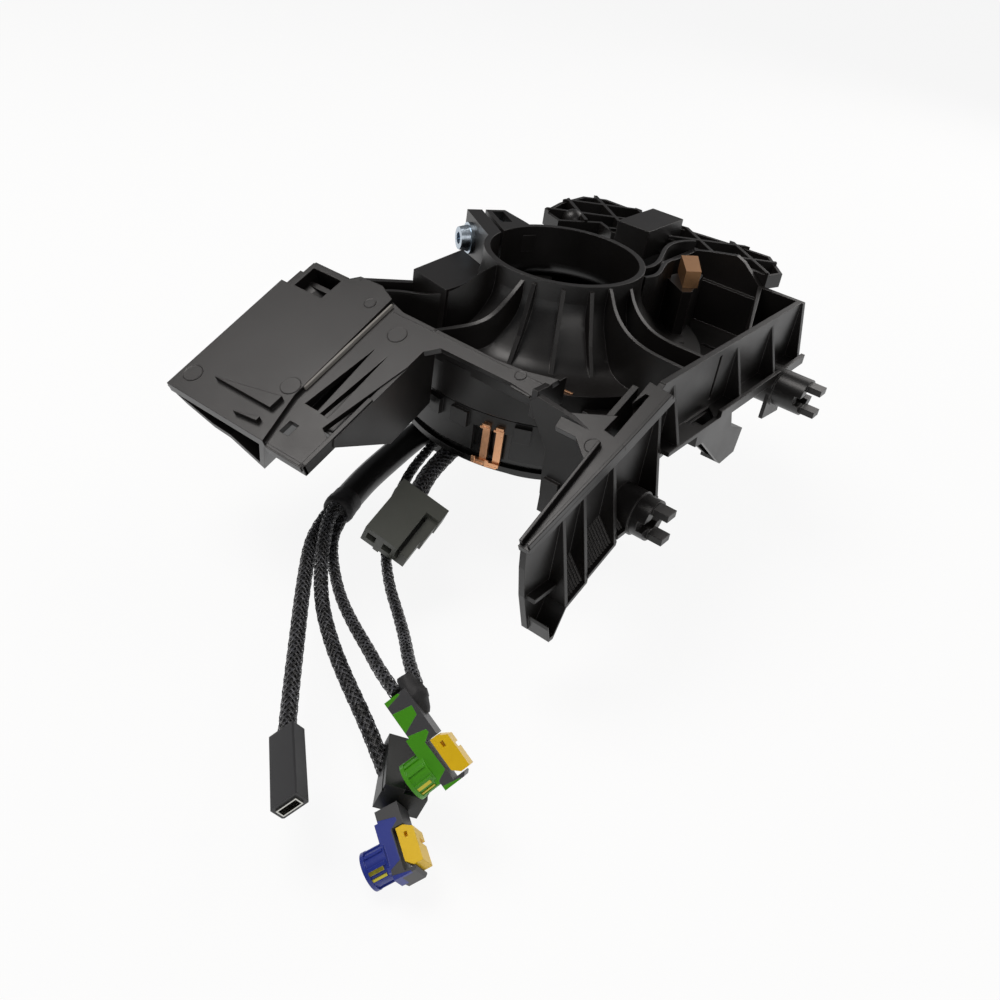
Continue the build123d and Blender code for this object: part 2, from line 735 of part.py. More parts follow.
with BuildPart() as stator_rim:
    ring(RIM_R, RIM_INNER_R, CASE_BOTTOM - RIM_H, CASE_BOTTOM)
save(stator_rim, "stator_rim", 0x24231F)

CASE_SCREW_R = 1.0
CASE_SCREW_HEAD = 0.35
CASE_SCREW_INSET = 2.4  # from the drum's wall
with BuildPart() as case_screws:
    for angle in (40, 160, 280):
        a = math.radians(angle)
        reach = CASE_R - CASE_SCREW_INSET
        x, y = reach * math.cos(a), reach * math.sin(a)
        rod((x, y, CASE_BOTTOM - RIM_H), (0, 0, -1), CASE_SCREW_R, CASE_SCREW_HEAD)
save(case_screws, "case_screws", 0xB9BDBF)

RIBBON_GAP = 1.2  # between the wound ribbon and the drum's wall
RIBBON_INSIDE = 3.0  # between the hub and the winding
with BuildPart() as ribbon_cable:
    ring(
        CASE_R - CASE_WALL - RIBBON_GAP,
        JOURNAL_R + RIBBON_INSIDE,
        CASE_BOTTOM + WALL,
        CASE_TOP - CASE_WALL - WALL,
    )
save(ribbon_cable, "ribbon_cable", 0xD8D4C8)

# ---------------------------------------------------------------- contact carrier
CARRIER_T = 2.7  # thickness of the carrier round the drum
CARRIER_R = CASE_R + CARRIER_T
CARRIER_ANGLE = -83.0
CARRIER_SPAN = 62.0
CARRIER_TOP = SKIRT_Z - GAP
CARRIER_H = 14.0
SNAPS = ((-98, 6.5), (-86, 6.5), (-62, 5.5))  # place round the drum, and width
WINDOW_ANGLE = -73.0
CONTACT_ANGLES = {"left": -74.8, "right": -69.8}
CONTACT_W = 2.4
CONTACT_T = 0.7
CONTACT_TOP = CARRIER_TOP - 2.6
CONTACT_FOOT = CASE_BOTTOM + 0.5


def facing(angle):
    """The upright plane through the axis whose normal points out at an angle."""
    return Plane.XZ.rotated((0, 0, angle + 90))


def contact_strip(angle, mode=Mode.ADD):
    """The upright leg of a spring contact, standing in its groove."""
    with BuildSketch(facing(angle).offset(CARRIER_R - CONTACT_T)) as leg:
        with Locations((0, (CONTACT_TOP + CONTACT_FOOT) / 2)):
            Rectangle(CONTACT_W, CONTACT_TOP - CONTACT_FOOT)
    extrude(leg.sketch, amount=2 * CONTACT_T, mode=mode)


with BuildPart() as contact_carrier:
    with BuildSketch(Plane.XY.offset(CARRIER_TOP - CARRIER_H)) as arc:
        with BuildLine():
            first = CARRIER_ANGLE - CARRIER_SPAN / 2
            outer = CenterArc((0, 0), CARRIER_R, first, CARRIER_SPAN)
            inner = CenterArc((0, 0), CASE_R, first, CARRIER_SPAN)
            Line(outer @ 0, inner @ 0)
            Line(outer @ 1, inner @ 1)
        make_face()
    extrude(arc.sketch, amount=CARRIER_H)
    for angle, width in SNAPS:
        with BuildSketch(facing(angle).offset(CASE_R + 1)) as snap:
            with Locations((0, CARRIER_TOP - 3.6)):
                Rectangle(width, 5.2)
        extrude(snap.sketch, amount=3.2)
    # Window in which the spring contacts stand, and their grooves above it.
    with BuildSketch(facing(WINDOW_ANGLE).offset(CASE_R - 1)) as gap:
        with Locations((0, CARRIER_TOP - CARRIER_H + 4.5)):
            Rectangle(13, CARRIER_H - 5)
    extrude(gap.sketch, amount=CARRIER_T + 3.3, mode=Mode.SUBTRACT)
    for angle in CONTACT_ANGLES.values():
        contact_strip(angle, Mode.SUBTRACT)
save(contact_carrier, "contact_carrier", 0x3A3936)

for side, angle in CONTACT_ANGLES.items():
    with BuildPart() as contact:
        contact_strip(angle)
        # Hooked tip above and the foot bent aside below.
        with BuildSketch(facing(angle).offset(CARRIER_R)) as tip:
            with Locations((0, CONTACT_TOP - 0.5)):
                Rectangle(CONTACT_W, 1.0)
        extrude(tip.sketch, amount=1.6)
        with BuildSketch(facing(angle).offset(CARRIER_R)) as foot:
            with Locations((-0.7, CONTACT_FOOT + 0.6)):
                Rectangle(CONTACT_W + 1.4, 1.2)
        extrude(foot.sketch, amount=1.5)
    save(contact, f"contact_{side}", 0xC98A5A)

# ---------------------------------------------------------------- rotor
DISC_TOP = CASE_BOTTOM - 0.6
DISC_BOTTOM = DISC_TOP - DISC_T
RING_H = 1.8  # retaining ring on the hub, above the drum's top
with BuildPart() as rotor_hub:
    ring(JOURNAL_R, HUB_R, DISC_BOTTOM, CASE_TOP + GAP + RING_H)
    ring(RIM_INNER_R - GAP, HUB_R, DISC_BOTTOM, DISC_TOP)
save(rotor_hub, "rotor_hub", 0x201F1E)

with BuildPart() as rotor_ring:
    ring(JOURNAL_R + 3, JOURNAL_R, CASE_TOP + GAP, CASE_TOP + GAP + RING_H)
save(rotor_ring, "rotor_ring", 0x2A2927)

CHUTE_Y = -35.5  # face that the leads come out of
CHUTE_H = 13.0
with BuildPart() as rotor_cover:
    ring(COVER_R, HUB_R, DISC_BOTTOM - COVER_H, DISC_BOTTOM)
    ring(HUB_R + BOSS_WALL, HUB_R, DISC_BOTTOM - BOSS_H, DISC_BOTTOM)
    block((-29, CHUTE_Y, DISC_BOTTOM - CHUTE_H), (-14.5, -24, DISC_BOTTOM))
    block((-15, CHUTE_Y, DISC_BOTTOM - CHUTE_H + 4.5), (-2, -28.5, DISC_BOTTOM))
    fillet(rotor_cover.edges().filter_by(Axis.Z).group_by(Axis.Y)[0], radius=1.5)
    # Notch in the cover's rim for the thick lead.
    block((-10, -COVER_R - 1, DISC_BOTTOM - BOSS_H), (-2.4, CHUTE_Y, DISC_BOTTOM), mode=Mode.SUBTRACT)
save(rotor_cover, "rotor_cover", 0x201F1E)

# ---------------------------------------------------------------- leads
SLEEVE_D = 9.4
CUFF_L = 5.0
CUFF_D = 11.4
LEAD_A_D = 4.4
LEAD_B_D = 4.2
LEAD_C_D = 3.4
LEAD_D_D = 3.3
LEAD_E_D = 6.2

sleeve_route = [
    (-23.6, -35.5, -66.0),
    (-23.4, -42.5, -67.4),
    (-22.7, -51.9, -69.4),
    (-21.7, -61.5, -71.1),
    (-19.8, -70.9, -72.3),
    (-17.1, -80.0, -73.3),
]
lead_a_route = [
    (-18.2, -85.4, -75.0),
    (-16.0, -91.4, -75.6),
    (-11.2, -99.7, -75.8),
    (-2.8, -109.5, -75.8),
    (7.3, -120.7, -75.8),
    (18.1, -132.2, -75.8),
    (30.4, -145.4, -75.2),
    (42.2, -157.6, -74.0),
]
lead_b_route = [
    (-15.7, -85.1, -71.2),
    (-12.8, -91.0, -71.8),
    (-7.6, -97.4, -72.2),
    (-0.6, -105.6, -73.0),
    (11.2, -116.8, -75.0),
    (23.9, -125.4, -75.8),
    (36.6, -132.4, -75.9),
    (48.2, -138.0, -76.2),
    (55.8, -141.6, -77.3),
    (61.5, -144.2, -78.9),
    (66.3, -146.4, -80.3),
]
lead_c_route = [
    (-13.2, -83.9, -75.1),
    (-10.9, -89.6, -75.8),
    (-6.0, -95.6, -76.3),
    (1.7, -102.5, -76.3),
    (12.9, -110.9, -75.6),
    (27.0, -120.0, -71.5),
    (41.6, -129.2, -65.5),
    (52.6, -136.5, -61.0),
    (61.5, -140.7, -58.7),
]
lead_d_route = [
    (-16.9, -35.5, -66.9),
    (-14.2, -46.0, -67.6),
    (-11.0, -57.4, -70.4),
    (-5.2, -70.2, -75.0),
    (7.0, -85.7, -76.3),
    (18.9, -96.5, -76.0),
    (31.1, -105.9, -73.8),
    (43.6, -117.2, -68.2),
    (54.6, -128.6, -61.5),
    (63.6, -136.2, -57.2),
]
lead_e_route = [
    (-6.2, -35.5, -61.8),
    (-4.9, -44.0, -62.8),
    (-2.8, -53.0, -63.3),
    (0.4, -61.8, -63.2),
    (4.4, -69.9, -63.6),
]


def bend_radii(route):
    """Largest arcs that the runs allow, one for each inner point of a route."""
    points = [Vector(p) for p in route]
    runs = [b - a for a, b in zip(points, points[1:])]
    radii = []
    for before, after in zip(runs, runs[1:]):
        turn = math.radians(before.get_angle(after))
        shorter = min(before.length, after.length)
        radii.append(0.45 * shorter / math.tan(turn / 2))
    return radii


def save_cord(name, route, diameter, color):
    """Write a round cord along a route, and print what its bends and volume come to."""
    radii = bend_radii(route)
    with BuildPart() as cord:
        with BuildLine() as path:
            FilletPolyline(*route, radius=radii)
        with BuildSketch(Plane(origin=path.line @ 0, z_dir=path.line % 0)):
            Circle(diameter / 2)
        sweep(path=path.line)
    length = path.wires()[0].length
    expected = math.pi * diameter**2 / 4 * length
    print(name, f"length {length:.1f}", f"volume {cord.part.volume / expected:.4f}",
          "radii", [round(r, 1) for r in radii], f"least {min(radii) / diameter:.1f} diameters")
    save(cord, name, color)


save_cord("sleeve", sleeve_route, SLEEVE_D, 0x1E1D1C)
save_cord("lead_a", lead_a_route, LEAD_A_D, 0x26262A)
save_cord("lead_b", lead_b_route, LEAD_B_D, 0x26262A)
save_cord("lead_c", lead_c_route, LEAD_C_D, 0x26262A)
save_cord("lead_d", lead_d_route, LEAD_D_D, 0x26262A)
save_cord("lead_e", lead_e_route, LEAD_E_D, 0x26262A)

# Wrapped cuff at the sleeve's end, where three leads part.
sleeve_end = Vector(sleeve_route[-1])
sleeve_way = (sleeve_end - Vector(sleeve_route[-2])).normalized()
with BuildPart() as sleeve_cuff:
    with BuildSketch(Plane(origin=sleeve_end, z_dir=sleeve_way)):
        Circle(SLEEVE_D / 2)
    with BuildSketch(Plane(origin=sleeve_end + sleeve_way * CUFF_L, z_dir=sleeve_way)):
        Circle(CUFF_D / 2)
    loft()
save(sleeve_cuff, "sleeve_cuff", 0x1E1D1C)

# ---------------------------------------------------------------- connectors
# Each is built in a frame with x across, y up out of its top and z from its head, where
# the lead enters, towards its mouth.


def connector_frame(head, along, up):
    """The frame of a connector from its head's centre, its length and its top."""
    z_way = Vector(*along).normalized()
    y_way = Vector(*up) - z_way * Vector(*up).dot(z_way)
    return Plane(origin=head, x_dir=y_way.cross(z_way), z_dir=z_way)


def bar(frame, low, high, mode=Mode.ADD):
    """A box between two corners given in a connector's frame."""
    with BuildSketch(frame.offset(low[2])) as outline:
        with Locations(((low[0] + high[0]) / 2, (low[1] + high[1]) / 2)):
            Rectangle(high[0] - low[0], high[1] - low[1])
    extrude(outline.sketch, amount=high[2] - low[2], mode=mode)


def side_plate(frame, low_x, points, depth, mode=Mode.ADD):
    """An outline in places z, y on a connector's low-x side, deepened along its x."""
    side = Plane(
        origin=frame.from_local_coords((low_x, 0, 0)),
        x_dir=frame.z_dir,
        z_dir=-frame.x_dir,
    )
    with BuildSketch(side) as outline:
        Polygon(*points, align=None)
    extrude(outline.sketch, amount=-depth, mode=mode)


# Slim plug on lead A: a plain block with a metal-lined mouth.
SLIM_W = 8.0
SLIM_T = 4.6
SLIM_L = 22.0
SLIM_WALL = 1.0
SLIM_DEPTH = 7.0
slim_frame = connector_frame(lead_a_route[-1], (0.761, -0.648, 0.031), (-0.461, -0.505, 0.73))
slim_mouth_w = SLIM_W / 2 - SLIM_WALL
slim_mouth_t = SLIM_T / 2 - SLIM_WALL
with BuildPart() as slim_plug:
    bar(slim_frame, (-SLIM_W / 2, -SLIM_T / 2, 0), (SLIM_W / 2, SLIM_T / 2, SLIM_L))
    chamfer(slim_plug.edges().filter_by(Axis(slim_frame.origin, slim_frame.z_dir)), length=0.4)
    bar(
        slim_frame,
        (-slim_mouth_w, -slim_mouth_t, SLIM_L - SLIM_DEPTH),
        (slim_mouth_w, slim_mouth_t, SLIM_L + 1),
        mode=Mode.SUBTRACT,
    )
save(slim_plug, "slim_plug", 0x6A6A6C)

SHELL_T = 0.35
with BuildPart() as slim_shell:
    bar(
        slim_frame,
        (-slim_mouth_w, -slim_mouth_t, SLIM_L - SLIM_DEPTH),
        (slim_mouth_w, slim_mouth_t, SLIM_L + 0.5),
    )
    bar(
        slim_frame,
        (-slim_mouth_w + SHELL_T, -slim_mouth_t + SHELL_T, SLIM_L - SLIM_DEPTH + SHELL_T),
        (slim_mouth_w - SHELL_T, slim_mouth_t - SHELL_T, SLIM_L + 1),
        mode=Mode.SUBTRACT,
    )
save(slim_shell, "slim_shell", 0xC9C7C0)

# Two-way plug on lead E: body with a wide head, a latch bar beside it and two chambers.
GREY_W = 11.6
GREY_T = 7.6
GREY_L = 22.2
GREY_HEAD = 5.4
GREY_WING = 5.2  # how far the head stands out over the latch bar
CHAMBER = 3.2
CHAMBER_DEPTH = 12.0
LATCH_SLOT = 1.2
grey_frame = connector_frame((4.6, -69.7, -63.5), (0.177, -0.95, -0.257), (0.409, -0.167, 0.897))
half_w = GREY_W / 2
half_t = GREY_T / 2
with BuildPart() as grey_plug:
    bar(grey_frame, (-half_w, -half_t, 0), (half_w, half_t, GREY_L))
    bar(grey_frame, (-half_w - 0.6, -half_t, 0), (half_w + GREY_WING, half_t, GREY_HEAD))
    # Latch bar, its step and the slot beside the body.
    bar(
        grey_frame,
        (half_w + LATCH_SLOT, -half_t, GREY_HEAD - 1),
        (half_w + GREY_WING - 1.2, half_t - 1.8, GREY_L - 0.5),
    )
    bar(
        grey_frame,
        (half_w + GREY_WING - 2, -half_t, GREY_HEAD - 1),
        (half_w + GREY_WING - 0.4, half_t - 1.8, GREY_L - 9),
    )
    bar(grey_frame, (half_w - 1, -half_t, GREY_L - 3), (half_w + 2, -half_t + 2, GREY_L - 0.5))
    bar(grey_frame, (-1, -half_t - 0.9, GREY_L - 12), (1, -half_t + 1, GREY_L))
    for side in (-1, 1):
        centre = side * GREY_W / 4
        bar(
            grey_frame,
            (centre - CHAMBER / 2, -CHAMBER / 2, GREY_L - CHAMBER_DEPTH),
            (centre + CHAMBER / 2, CHAMBER / 2, GREY_L + 1),
            mode=Mode.SUBTRACT,
        )
save(grey_plug, "grey_plug", 0x5B5D58)

TERMINAL = 2.0
with BuildPart() as grey_terminals:
    for side in (-1, 1):
        centre = side * GREY_W / 4
        bar(
            grey_frame,
            (centre - TERMINAL / 2, -CHAMBER / 2, GREY_L - CHAMBER_DEPTH),
            (centre + TERMINAL / 2, TERMINAL / 2, GREY_L - 2.5),
        )
        bar(
            grey_frame,
            (centre - TERMINAL / 2 + 0.4, -CHAMBER / 2 + 0.4, GREY_L - CHAMBER_DEPTH + 4),
            (centre + TERMINAL / 2 - 0.4, TERMINAL / 2 - 0.4, GREY_L),
            mode=Mode.SUBTRACT,
        )
save(grey_terminals, "grey_terminals", 0x8F8C84)

# Right-angle connectors: a shell round a coloured core, whose round nose stands out
# below near the mouth end, with a lock on top that is pushed in towards the nose.
SHELL_W = 6.2
SHELL_H = 6.0
SHELL_L = 24.5
NOSE_R = 4.2
NOSE_L = 6.1
NOSE_AT = 18.3  # from the head to the nose's axis
NOSE_PINS = 3.5
LOCK_FROM = 13.2
LOCK_TO = 23.2
LOCK_LOW = 0.8
LOCK_HIGH = 5.0
LOCK_TRAVEL = 0.8
CORE_SKIN = 0.9  # thickness of the core where it shows in the shell's side
CORE_SIDE = (  # where it shows, in places z, y
    ((0, -3.0), (0, 0.9), (0.5, 1.3), (1.3, -3.0)),
    ((3.2, -3.0), (4.2, 2.1), (6.6, 1.8), (8.6, -3.0)),
    ((9.4, -3.0), (10.6, 1.6), (11.5, 1.7), (13.0, -0.4), (20.6, -0.2), (21.9, -3.0)),
    ((23.3, -3.0), (24.5, -3.0), (24.5, 1.5), (24.2, 1.5)),
)


def core_in_shell(frame, start, mode):
    """The part of the core inside the shell: its spine and what shows at the side."""
    half = SHELL_W / 2
    bar(frame, (CORE_SKIN - half - 0.3, -SHELL_H / 2, start), (1.4, -1.2, SHELL_L), mode)
    for outline in CORE_SIDE:
        if outline[0][0] >= start:
            side_plate(frame, -half, outline, CORE_SKIN, mode)


def right_angle_connector(name, frame, start, core_color, shell_color):
    """Write the shell, core and lock of a right-angle connector that begins at z = start."""
    half = SHELL_W / 2
    low = -SHELL_H / 2
    high = SHELL_H / 2
    seat = LOCK_LOW - LOCK_TRAVEL - RUNNING
    with BuildPart() as shell:
        outline = [
            (start, low), (SHELL_L - 1, low), (SHELL_L, low + 1), (SHELL_L, high - 0.6),
            (SHELL_L - 0.6, high), (LOCK_TO + 0.3, high), (LOCK_TO + 0.3, seat),
            (LOCK_FROM - 0.3, seat), (LOCK_FROM - 0.3, high), (start, high),
        ]
        side_plate(frame, -half, outline, SHELL_W)
        core_in_shell(frame, start, Mode.SUBTRACT)
    save(shell, f"{name}_shell", shell_color)

    nose_frame = Plane(
        origin=frame.from_local_coords((0, low, NOSE_AT)),
        x_dir=frame.z_dir,
        z_dir=-frame.y_dir,
    )
    with BuildPart() as core:
        with BuildSketch(nose_frame) as nose:
            Circle(NOSE_R)
            with Locations((0, -NOSE_R)):
                Rectangle(3.4, 1.0, mode=Mode.SUBTRACT)
        extrude(nose.sketch, amount=NOSE_L)
        with BuildSketch(nose_frame.offset(NOSE_L - 1.0)) as lip:
            Circle(NOSE_R + 0.5)
        extrude(lip.sketch, amount=1.0)
        with BuildSketch(nose_frame.offset(NOSE_L)) as pins:
            Circle(NOSE_R - 1.2)
        extrude(pins.sketch, amount=-NOSE_PINS, mode=Mode.SUBTRACT)
        core_in_shell(frame, start, Mode.ADD)
        bar(frame, (-half, low - 0.9, 10.0), (half, low, 22.4))
    save(core, f"{name}_core", core_color)

    with BuildPart() as lock:
        outline = [
            (LOCK_FROM, LOCK_LOW), (LOCK_FROM, 2.8), (LOCK_FROM + 1.4, LOCK_HIGH),
            (LOCK_TO, LOCK_HIGH), (LOCK_TO, 2.6), (LOCK_TO - 1.6, LOCK_LOW),
        ]
        side_plate(frame, -half, outline, SHELL_W - 0.8)
        # Window in its side and a groove across its back.
        side = LOCK_FROM + 1.8
        bar(frame, (-half - 1, 2.4, side), (-half + 1.2, 3.2, side + 1.4), Mode.SUBTRACT)
        bar(frame, (-1, LOCK_HIGH - 1, side + 2), (half, LOCK_HIGH + 1, side + 3.2), Mode.SUBTRACT)
    save(lock, f"{name}_lock", 0xF0C020)


green_frame = connector_frame(
    (61.5, -140.7, -58.7), (0.888, -0.055, -0.454), (0.358, 0.7, 0.617)
)
right_angle_connector("green", green_frame, 0, 0x58A618, 0x4A4A4C)
blue_frame = connector_frame(
    (65.9, -147.8, -81.5), (0.849, -0.506, -0.132), (0.491, 0.689, 0.537)
)
BLUE_START = 7.0
right_angle_connector("blue", blue_frame, BLUE_START, 0x2C3F8F, 0x3A3B3C)

# In-line coupler on lead B, a wedge that the blue connector's head sits in.
COUPLER_W = 11.4
COUPLER_L = 16.0
COUPLER_HEAD = 3.6
COUPLER_TAIL = 8.8
coupler_frame = connector_frame(
    (63.6, -135.9, -76.2), (0.636, -0.772, 0.016), (0.208, 0.191, 0.959)
)
with BuildPart() as coupler:
    outline = [
        (0, 0), (COUPLER_L, 0), (COUPLER_L, -COUPLER_TAIL), (1.5, -COUPLER_HEAD - 1.0),
        (0, -COUPLER_HEAD),
    ]
    side_plate(coupler_frame, -COUPLER_W / 2, outline, COUPLER_W)
    # Step across the tail, a groove on the side and the seat of the connector's head.
    half = COUPLER_W / 2
    bar(coupler_frame, (-0.6, -1.6, COUPLER_L - 1.4), (half + 1, 1, COUPLER_L + 1), Mode.SUBTRACT)
    bar(coupler_frame, (-half - 1, -2.4, 6.0), (-half + 0.6, -1.6, COUPLER_L + 1), Mode.SUBTRACT)
    seat_low = (-SHELL_W / 2, -SHELL_H / 2, BLUE_START)
    bar(blue_frame, seat_low, (SHELL_W / 2, SHELL_H / 2, BLUE_START + 5), Mode.SUBTRACT)
save(coupler, "coupler", 0x1E201E)

# Tape wound round the end of lead D where it meets the green connector.
# Its sections: place z, centre x and y, half width and half height.
TAPE_SECTIONS = (
    (-2.4, 1.2, 3.2, 2.1, 2.1),
    (1.5, 1.6, 3.2, 3.6, 3.4),
    (8.0, 2.6, 2.4, 1.6, 1.6),
)
with BuildPart() as tape_wrap:
    for z, x, y, wide, high in TAPE_SECTIONS:
        with BuildSketch(green_frame.offset(z)):
            with Locations((x, y)):
                Ellipse(wide, high)
    loft()
    bar(green_frame, (-SHELL_W, -SHELL_H, 0), (SHELL_W / 2, SHELL_H / 2, 12), Mode.SUBTRACT)
save(tape_wrap, "tape_wrap", 0x2A292B)
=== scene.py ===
# %% [markdown]
# # A steering clock spring, dressed in Blender
# The part sits behind a steering wheel. A black moulded housing clamps on the column, a
# drum turns inside it, and short leads with plugs hang from the drum. The rigid shapes
# come ready from the CAD frame, so this lesson adds what CAD leaves plain: finishes for
# every surface, braided leads, wound tape, and small moulded details.

import math

import bmesh
import bpy
from mathutils import Matrix, Vector


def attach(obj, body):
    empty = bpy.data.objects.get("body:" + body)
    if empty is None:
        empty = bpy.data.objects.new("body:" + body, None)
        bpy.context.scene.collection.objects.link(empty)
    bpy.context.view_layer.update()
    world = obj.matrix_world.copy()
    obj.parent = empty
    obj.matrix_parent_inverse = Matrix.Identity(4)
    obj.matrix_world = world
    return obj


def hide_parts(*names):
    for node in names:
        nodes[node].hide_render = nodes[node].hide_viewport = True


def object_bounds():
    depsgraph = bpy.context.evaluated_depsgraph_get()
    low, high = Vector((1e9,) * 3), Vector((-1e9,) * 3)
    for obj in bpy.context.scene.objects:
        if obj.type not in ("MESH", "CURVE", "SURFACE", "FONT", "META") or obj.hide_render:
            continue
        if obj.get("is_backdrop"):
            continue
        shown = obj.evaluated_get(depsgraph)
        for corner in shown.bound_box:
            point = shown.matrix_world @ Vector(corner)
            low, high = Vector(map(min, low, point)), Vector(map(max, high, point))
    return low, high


MM = 0.001
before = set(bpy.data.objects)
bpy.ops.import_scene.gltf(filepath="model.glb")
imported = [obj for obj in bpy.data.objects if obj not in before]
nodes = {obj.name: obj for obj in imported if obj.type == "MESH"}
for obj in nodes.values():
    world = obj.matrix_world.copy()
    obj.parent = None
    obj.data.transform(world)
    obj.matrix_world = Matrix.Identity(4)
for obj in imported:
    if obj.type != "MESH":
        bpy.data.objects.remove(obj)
cad_low, cad_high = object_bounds()

# %% [markdown]
# ## The camera
# A camera is a point, a direction and a focal length. Here it looks down at the deck from
# the front right. The three directions below are the columns of its rotation matrix, and a
# lens of 36 mm on a 36 mm sensor gives a field of view of about 53 degrees.

# %% Camera
CAMERA_AT = Vector((167.0, -273.92, 115.76)) * MM
SENSOR_MM = 36.0
LENS_MM = 36.0
camera_right = Vector((0.78, 0.6111, 0.1351))
camera_up = Vector((-0.4363, 0.3763, 0.8173))
camera_right.normalize()
camera_up = (camera_up - camera_right * camera_up.dot(camera_right)).normalized()
camera_back = camera_right.cross(camera_up)

lens = bpy.data.cameras.new("camera")
lens.sensor_width = SENSOR_MM
lens.lens = LENS_MM
lens.clip_start = 5 * MM
lens.clip_end = 50.0
camera = bpy.data.objects.new("camera", lens)
turn = Matrix((camera_right, camera_up, camera_back)).transposed()
camera.matrix_world = Matrix.Translation(CAMERA_AT) @ turn.to_4x4()
bpy.context.scene.collection.objects.link(camera)
bpy.context.scene.camera = camera
print("camera at", tuple(round(v, 3) for v in CAMERA_AT))

# %% [markdown]
# ## Colours and nodes
# Colours are written as sRGB hex, as a colour picker shows them, and Blender wants linear
# light, so one function converts them. Materials are graphs of nodes. A second function
# adds any node: its settings go on the node, and each input gets a value or a link.


# %% Helpers for colours and nodes
def linear(code):
    """A colour written as hex, as linear red, green, blue and alpha."""
    channels = [int(code[i : i + 2], 16) / 255 for i in (1, 3, 5)]
    light = [c / 12.92 if c <= 0.04045 else ((c + 0.055) / 1.055) ** 2.4 for c in channels]
    return (*light, 1.0)


def add_node(tree, kind, inputs=(), **settings):
    """Add a node with its settings; inputs are pairs of a socket and a value or a link."""
    made = tree.nodes.new(kind)
    for name, value in settings.items():
        setattr(made, name, value)
    for socket, value in inputs:
        if isinstance(value, bpy.types.NodeSocket):
            tree.links.new(value, made.inputs[socket])
        else:
            made.inputs[socket].default_value = value
    return made


def new_material(name):
    """A material with its tree, its Principled shader and object coordinates in metres."""
    material = bpy.data.materials.new(name)
    material.use_nodes = True
    tree = material.node_tree
    shader = tree.nodes["Principled BSDF"]
    place = add_node(tree, "ShaderNodeTexCoord").outputs["Object"]
    return material, tree, shader, place


# %% [markdown]
# ## The cords' routes
# The leads are free cords. Each route is a short list of points, in millimetres, and a
# smooth NURBS spline takes them as its control points, so the line bends softly near each
# one, as a cord does. The order is set after the points are there, because a new spline is
# too short for it.

# %% Routes of the leads
SLEEVE_D = 9.4
LEADS = {"lead_a": 4.4, "lead_b": 4.2, "lead_c": 3.4, "lead_d": 3.3, "lead_e": 6.0}
ROUTES = {
    "sleeve": [
        (-23.6, -35.5, -66.0), (-23.4, -42.5, -67.4), (-22.7, -51.9, -69.4),
        (-21.7, -61.5, -71.1), (-19.8, -70.9, -72.3), (-17.1, -80.0, -73.3),
    ],
    "lead_a": [
        (-18.2, -85.4, -75.0), (-16.0, -91.4, -75.6), (-11.2, -99.7, -75.8),
        (-2.8, -109.5, -75.8), (7.3, -120.7, -75.8), (18.1, -132.2, -75.8),
        (30.4, -145.4, -75.2), (42.2, -157.6, -74.0),
    ],
    "lead_b": [
        (-15.7, -85.1, -71.2), (-12.8, -91.0, -71.8), (-7.6, -97.4, -72.2),
        (-0.6, -105.6, -73.0), (11.2, -116.8, -75.0), (23.9, -125.4, -75.8),
        (36.6, -132.4, -75.9), (48.2, -138.0, -76.2), (55.8, -141.6, -77.3),
        (61.5, -144.2, -78.9), (66.3, -146.4, -80.3),
    ],
    "lead_c": [
        (-13.2, -83.9, -75.1), (-10.9, -89.6, -75.8), (-6.0, -95.6, -76.3),
        (1.7, -102.5, -76.3), (12.9, -110.9, -75.6), (27.0, -120.0, -71.5),
        (41.6, -129.2, -65.5), (52.6, -136.5, -61.0), (61.5, -140.7, -58.7),
    ],
    "lead_d": [
        (-16.9, -35.5, -66.9), (-14.2, -46.0, -67.6), (-11.0, -57.4, -70.4),
        (-5.2, -70.2, -75.0), (7.0, -85.7, -76.3), (18.9, -96.5, -76.0),
        (31.1, -105.9, -73.8), (43.6, -117.2, -68.2), (54.6, -128.6, -61.5),
        (63.6, -136.2, -57.2),
    ],
    "lead_e": [
        (-6.2, -35.5, -61.8), (-4.9, -44.0, -62.8), (-2.8, -53.0, -63.3),
        (0.4, -61.8, -63.2), (4.4, -69.9, -63.6),
    ],
}


def route_curve(name, radius=0.0):
    """A curve object along a route, with a round section where a radius is given."""
    curve = bpy.data.curves.new(name, "CURVE")
    curve.dimensions = "3D"
    spline = curve.splines.new("NURBS")
    points = ROUTES[name]
    spline.points.add(len(points) - 1)
    for point, place in zip(spline.points, points):
        point.co = (*(Vector(place) * MM), 1.0)
    spline.order_u = 3
    spline.use_endpoint_u = True
    curve.resolution_u = 24
    curve.bevel_depth = radius
    curve.bevel_resolution = 6
    curve.use_fill_caps = True
    made = bpy.data.objects.new(name, curve)
    bpy.context.scene.collection.objects.link(made)
    return made


def mesh_of(curve_object):
    """The mesh that Blender makes of a curve; the curve itself is then removed."""
    bpy.context.view_layer.update()
    graph = bpy.context.evaluated_depsgraph_get()
    mesh = bpy.data.meshes.new_from_object(curve_object.evaluated_get(graph))
    bpy.data.objects.remove(curve_object)
    return mesh


centrelines = {}
for name in ROUTES:
    line = mesh_of(route_curve(name))
    centrelines[name] = [v.co.copy() for v in line.vertices]
    length = sum((b - a).length for a, b in zip(centrelines[name], centrelines[name][1:]))
    print(name, "has", len(centrelines[name]), "points,", round(length / MM, 1), "mm")

# %% [markdown]
# ## Braided leads
# Each lead is a few wires inside a braid of black polyester yarn. Real braid is woven:
# yarns wind both ways and pass over and under each other. A bump map could fake it, but
# the outline of a cord shows the weave, so the yarns are curves here. Every yarn is a
# helix about the lead's line whose radius rises and falls at each crossing.

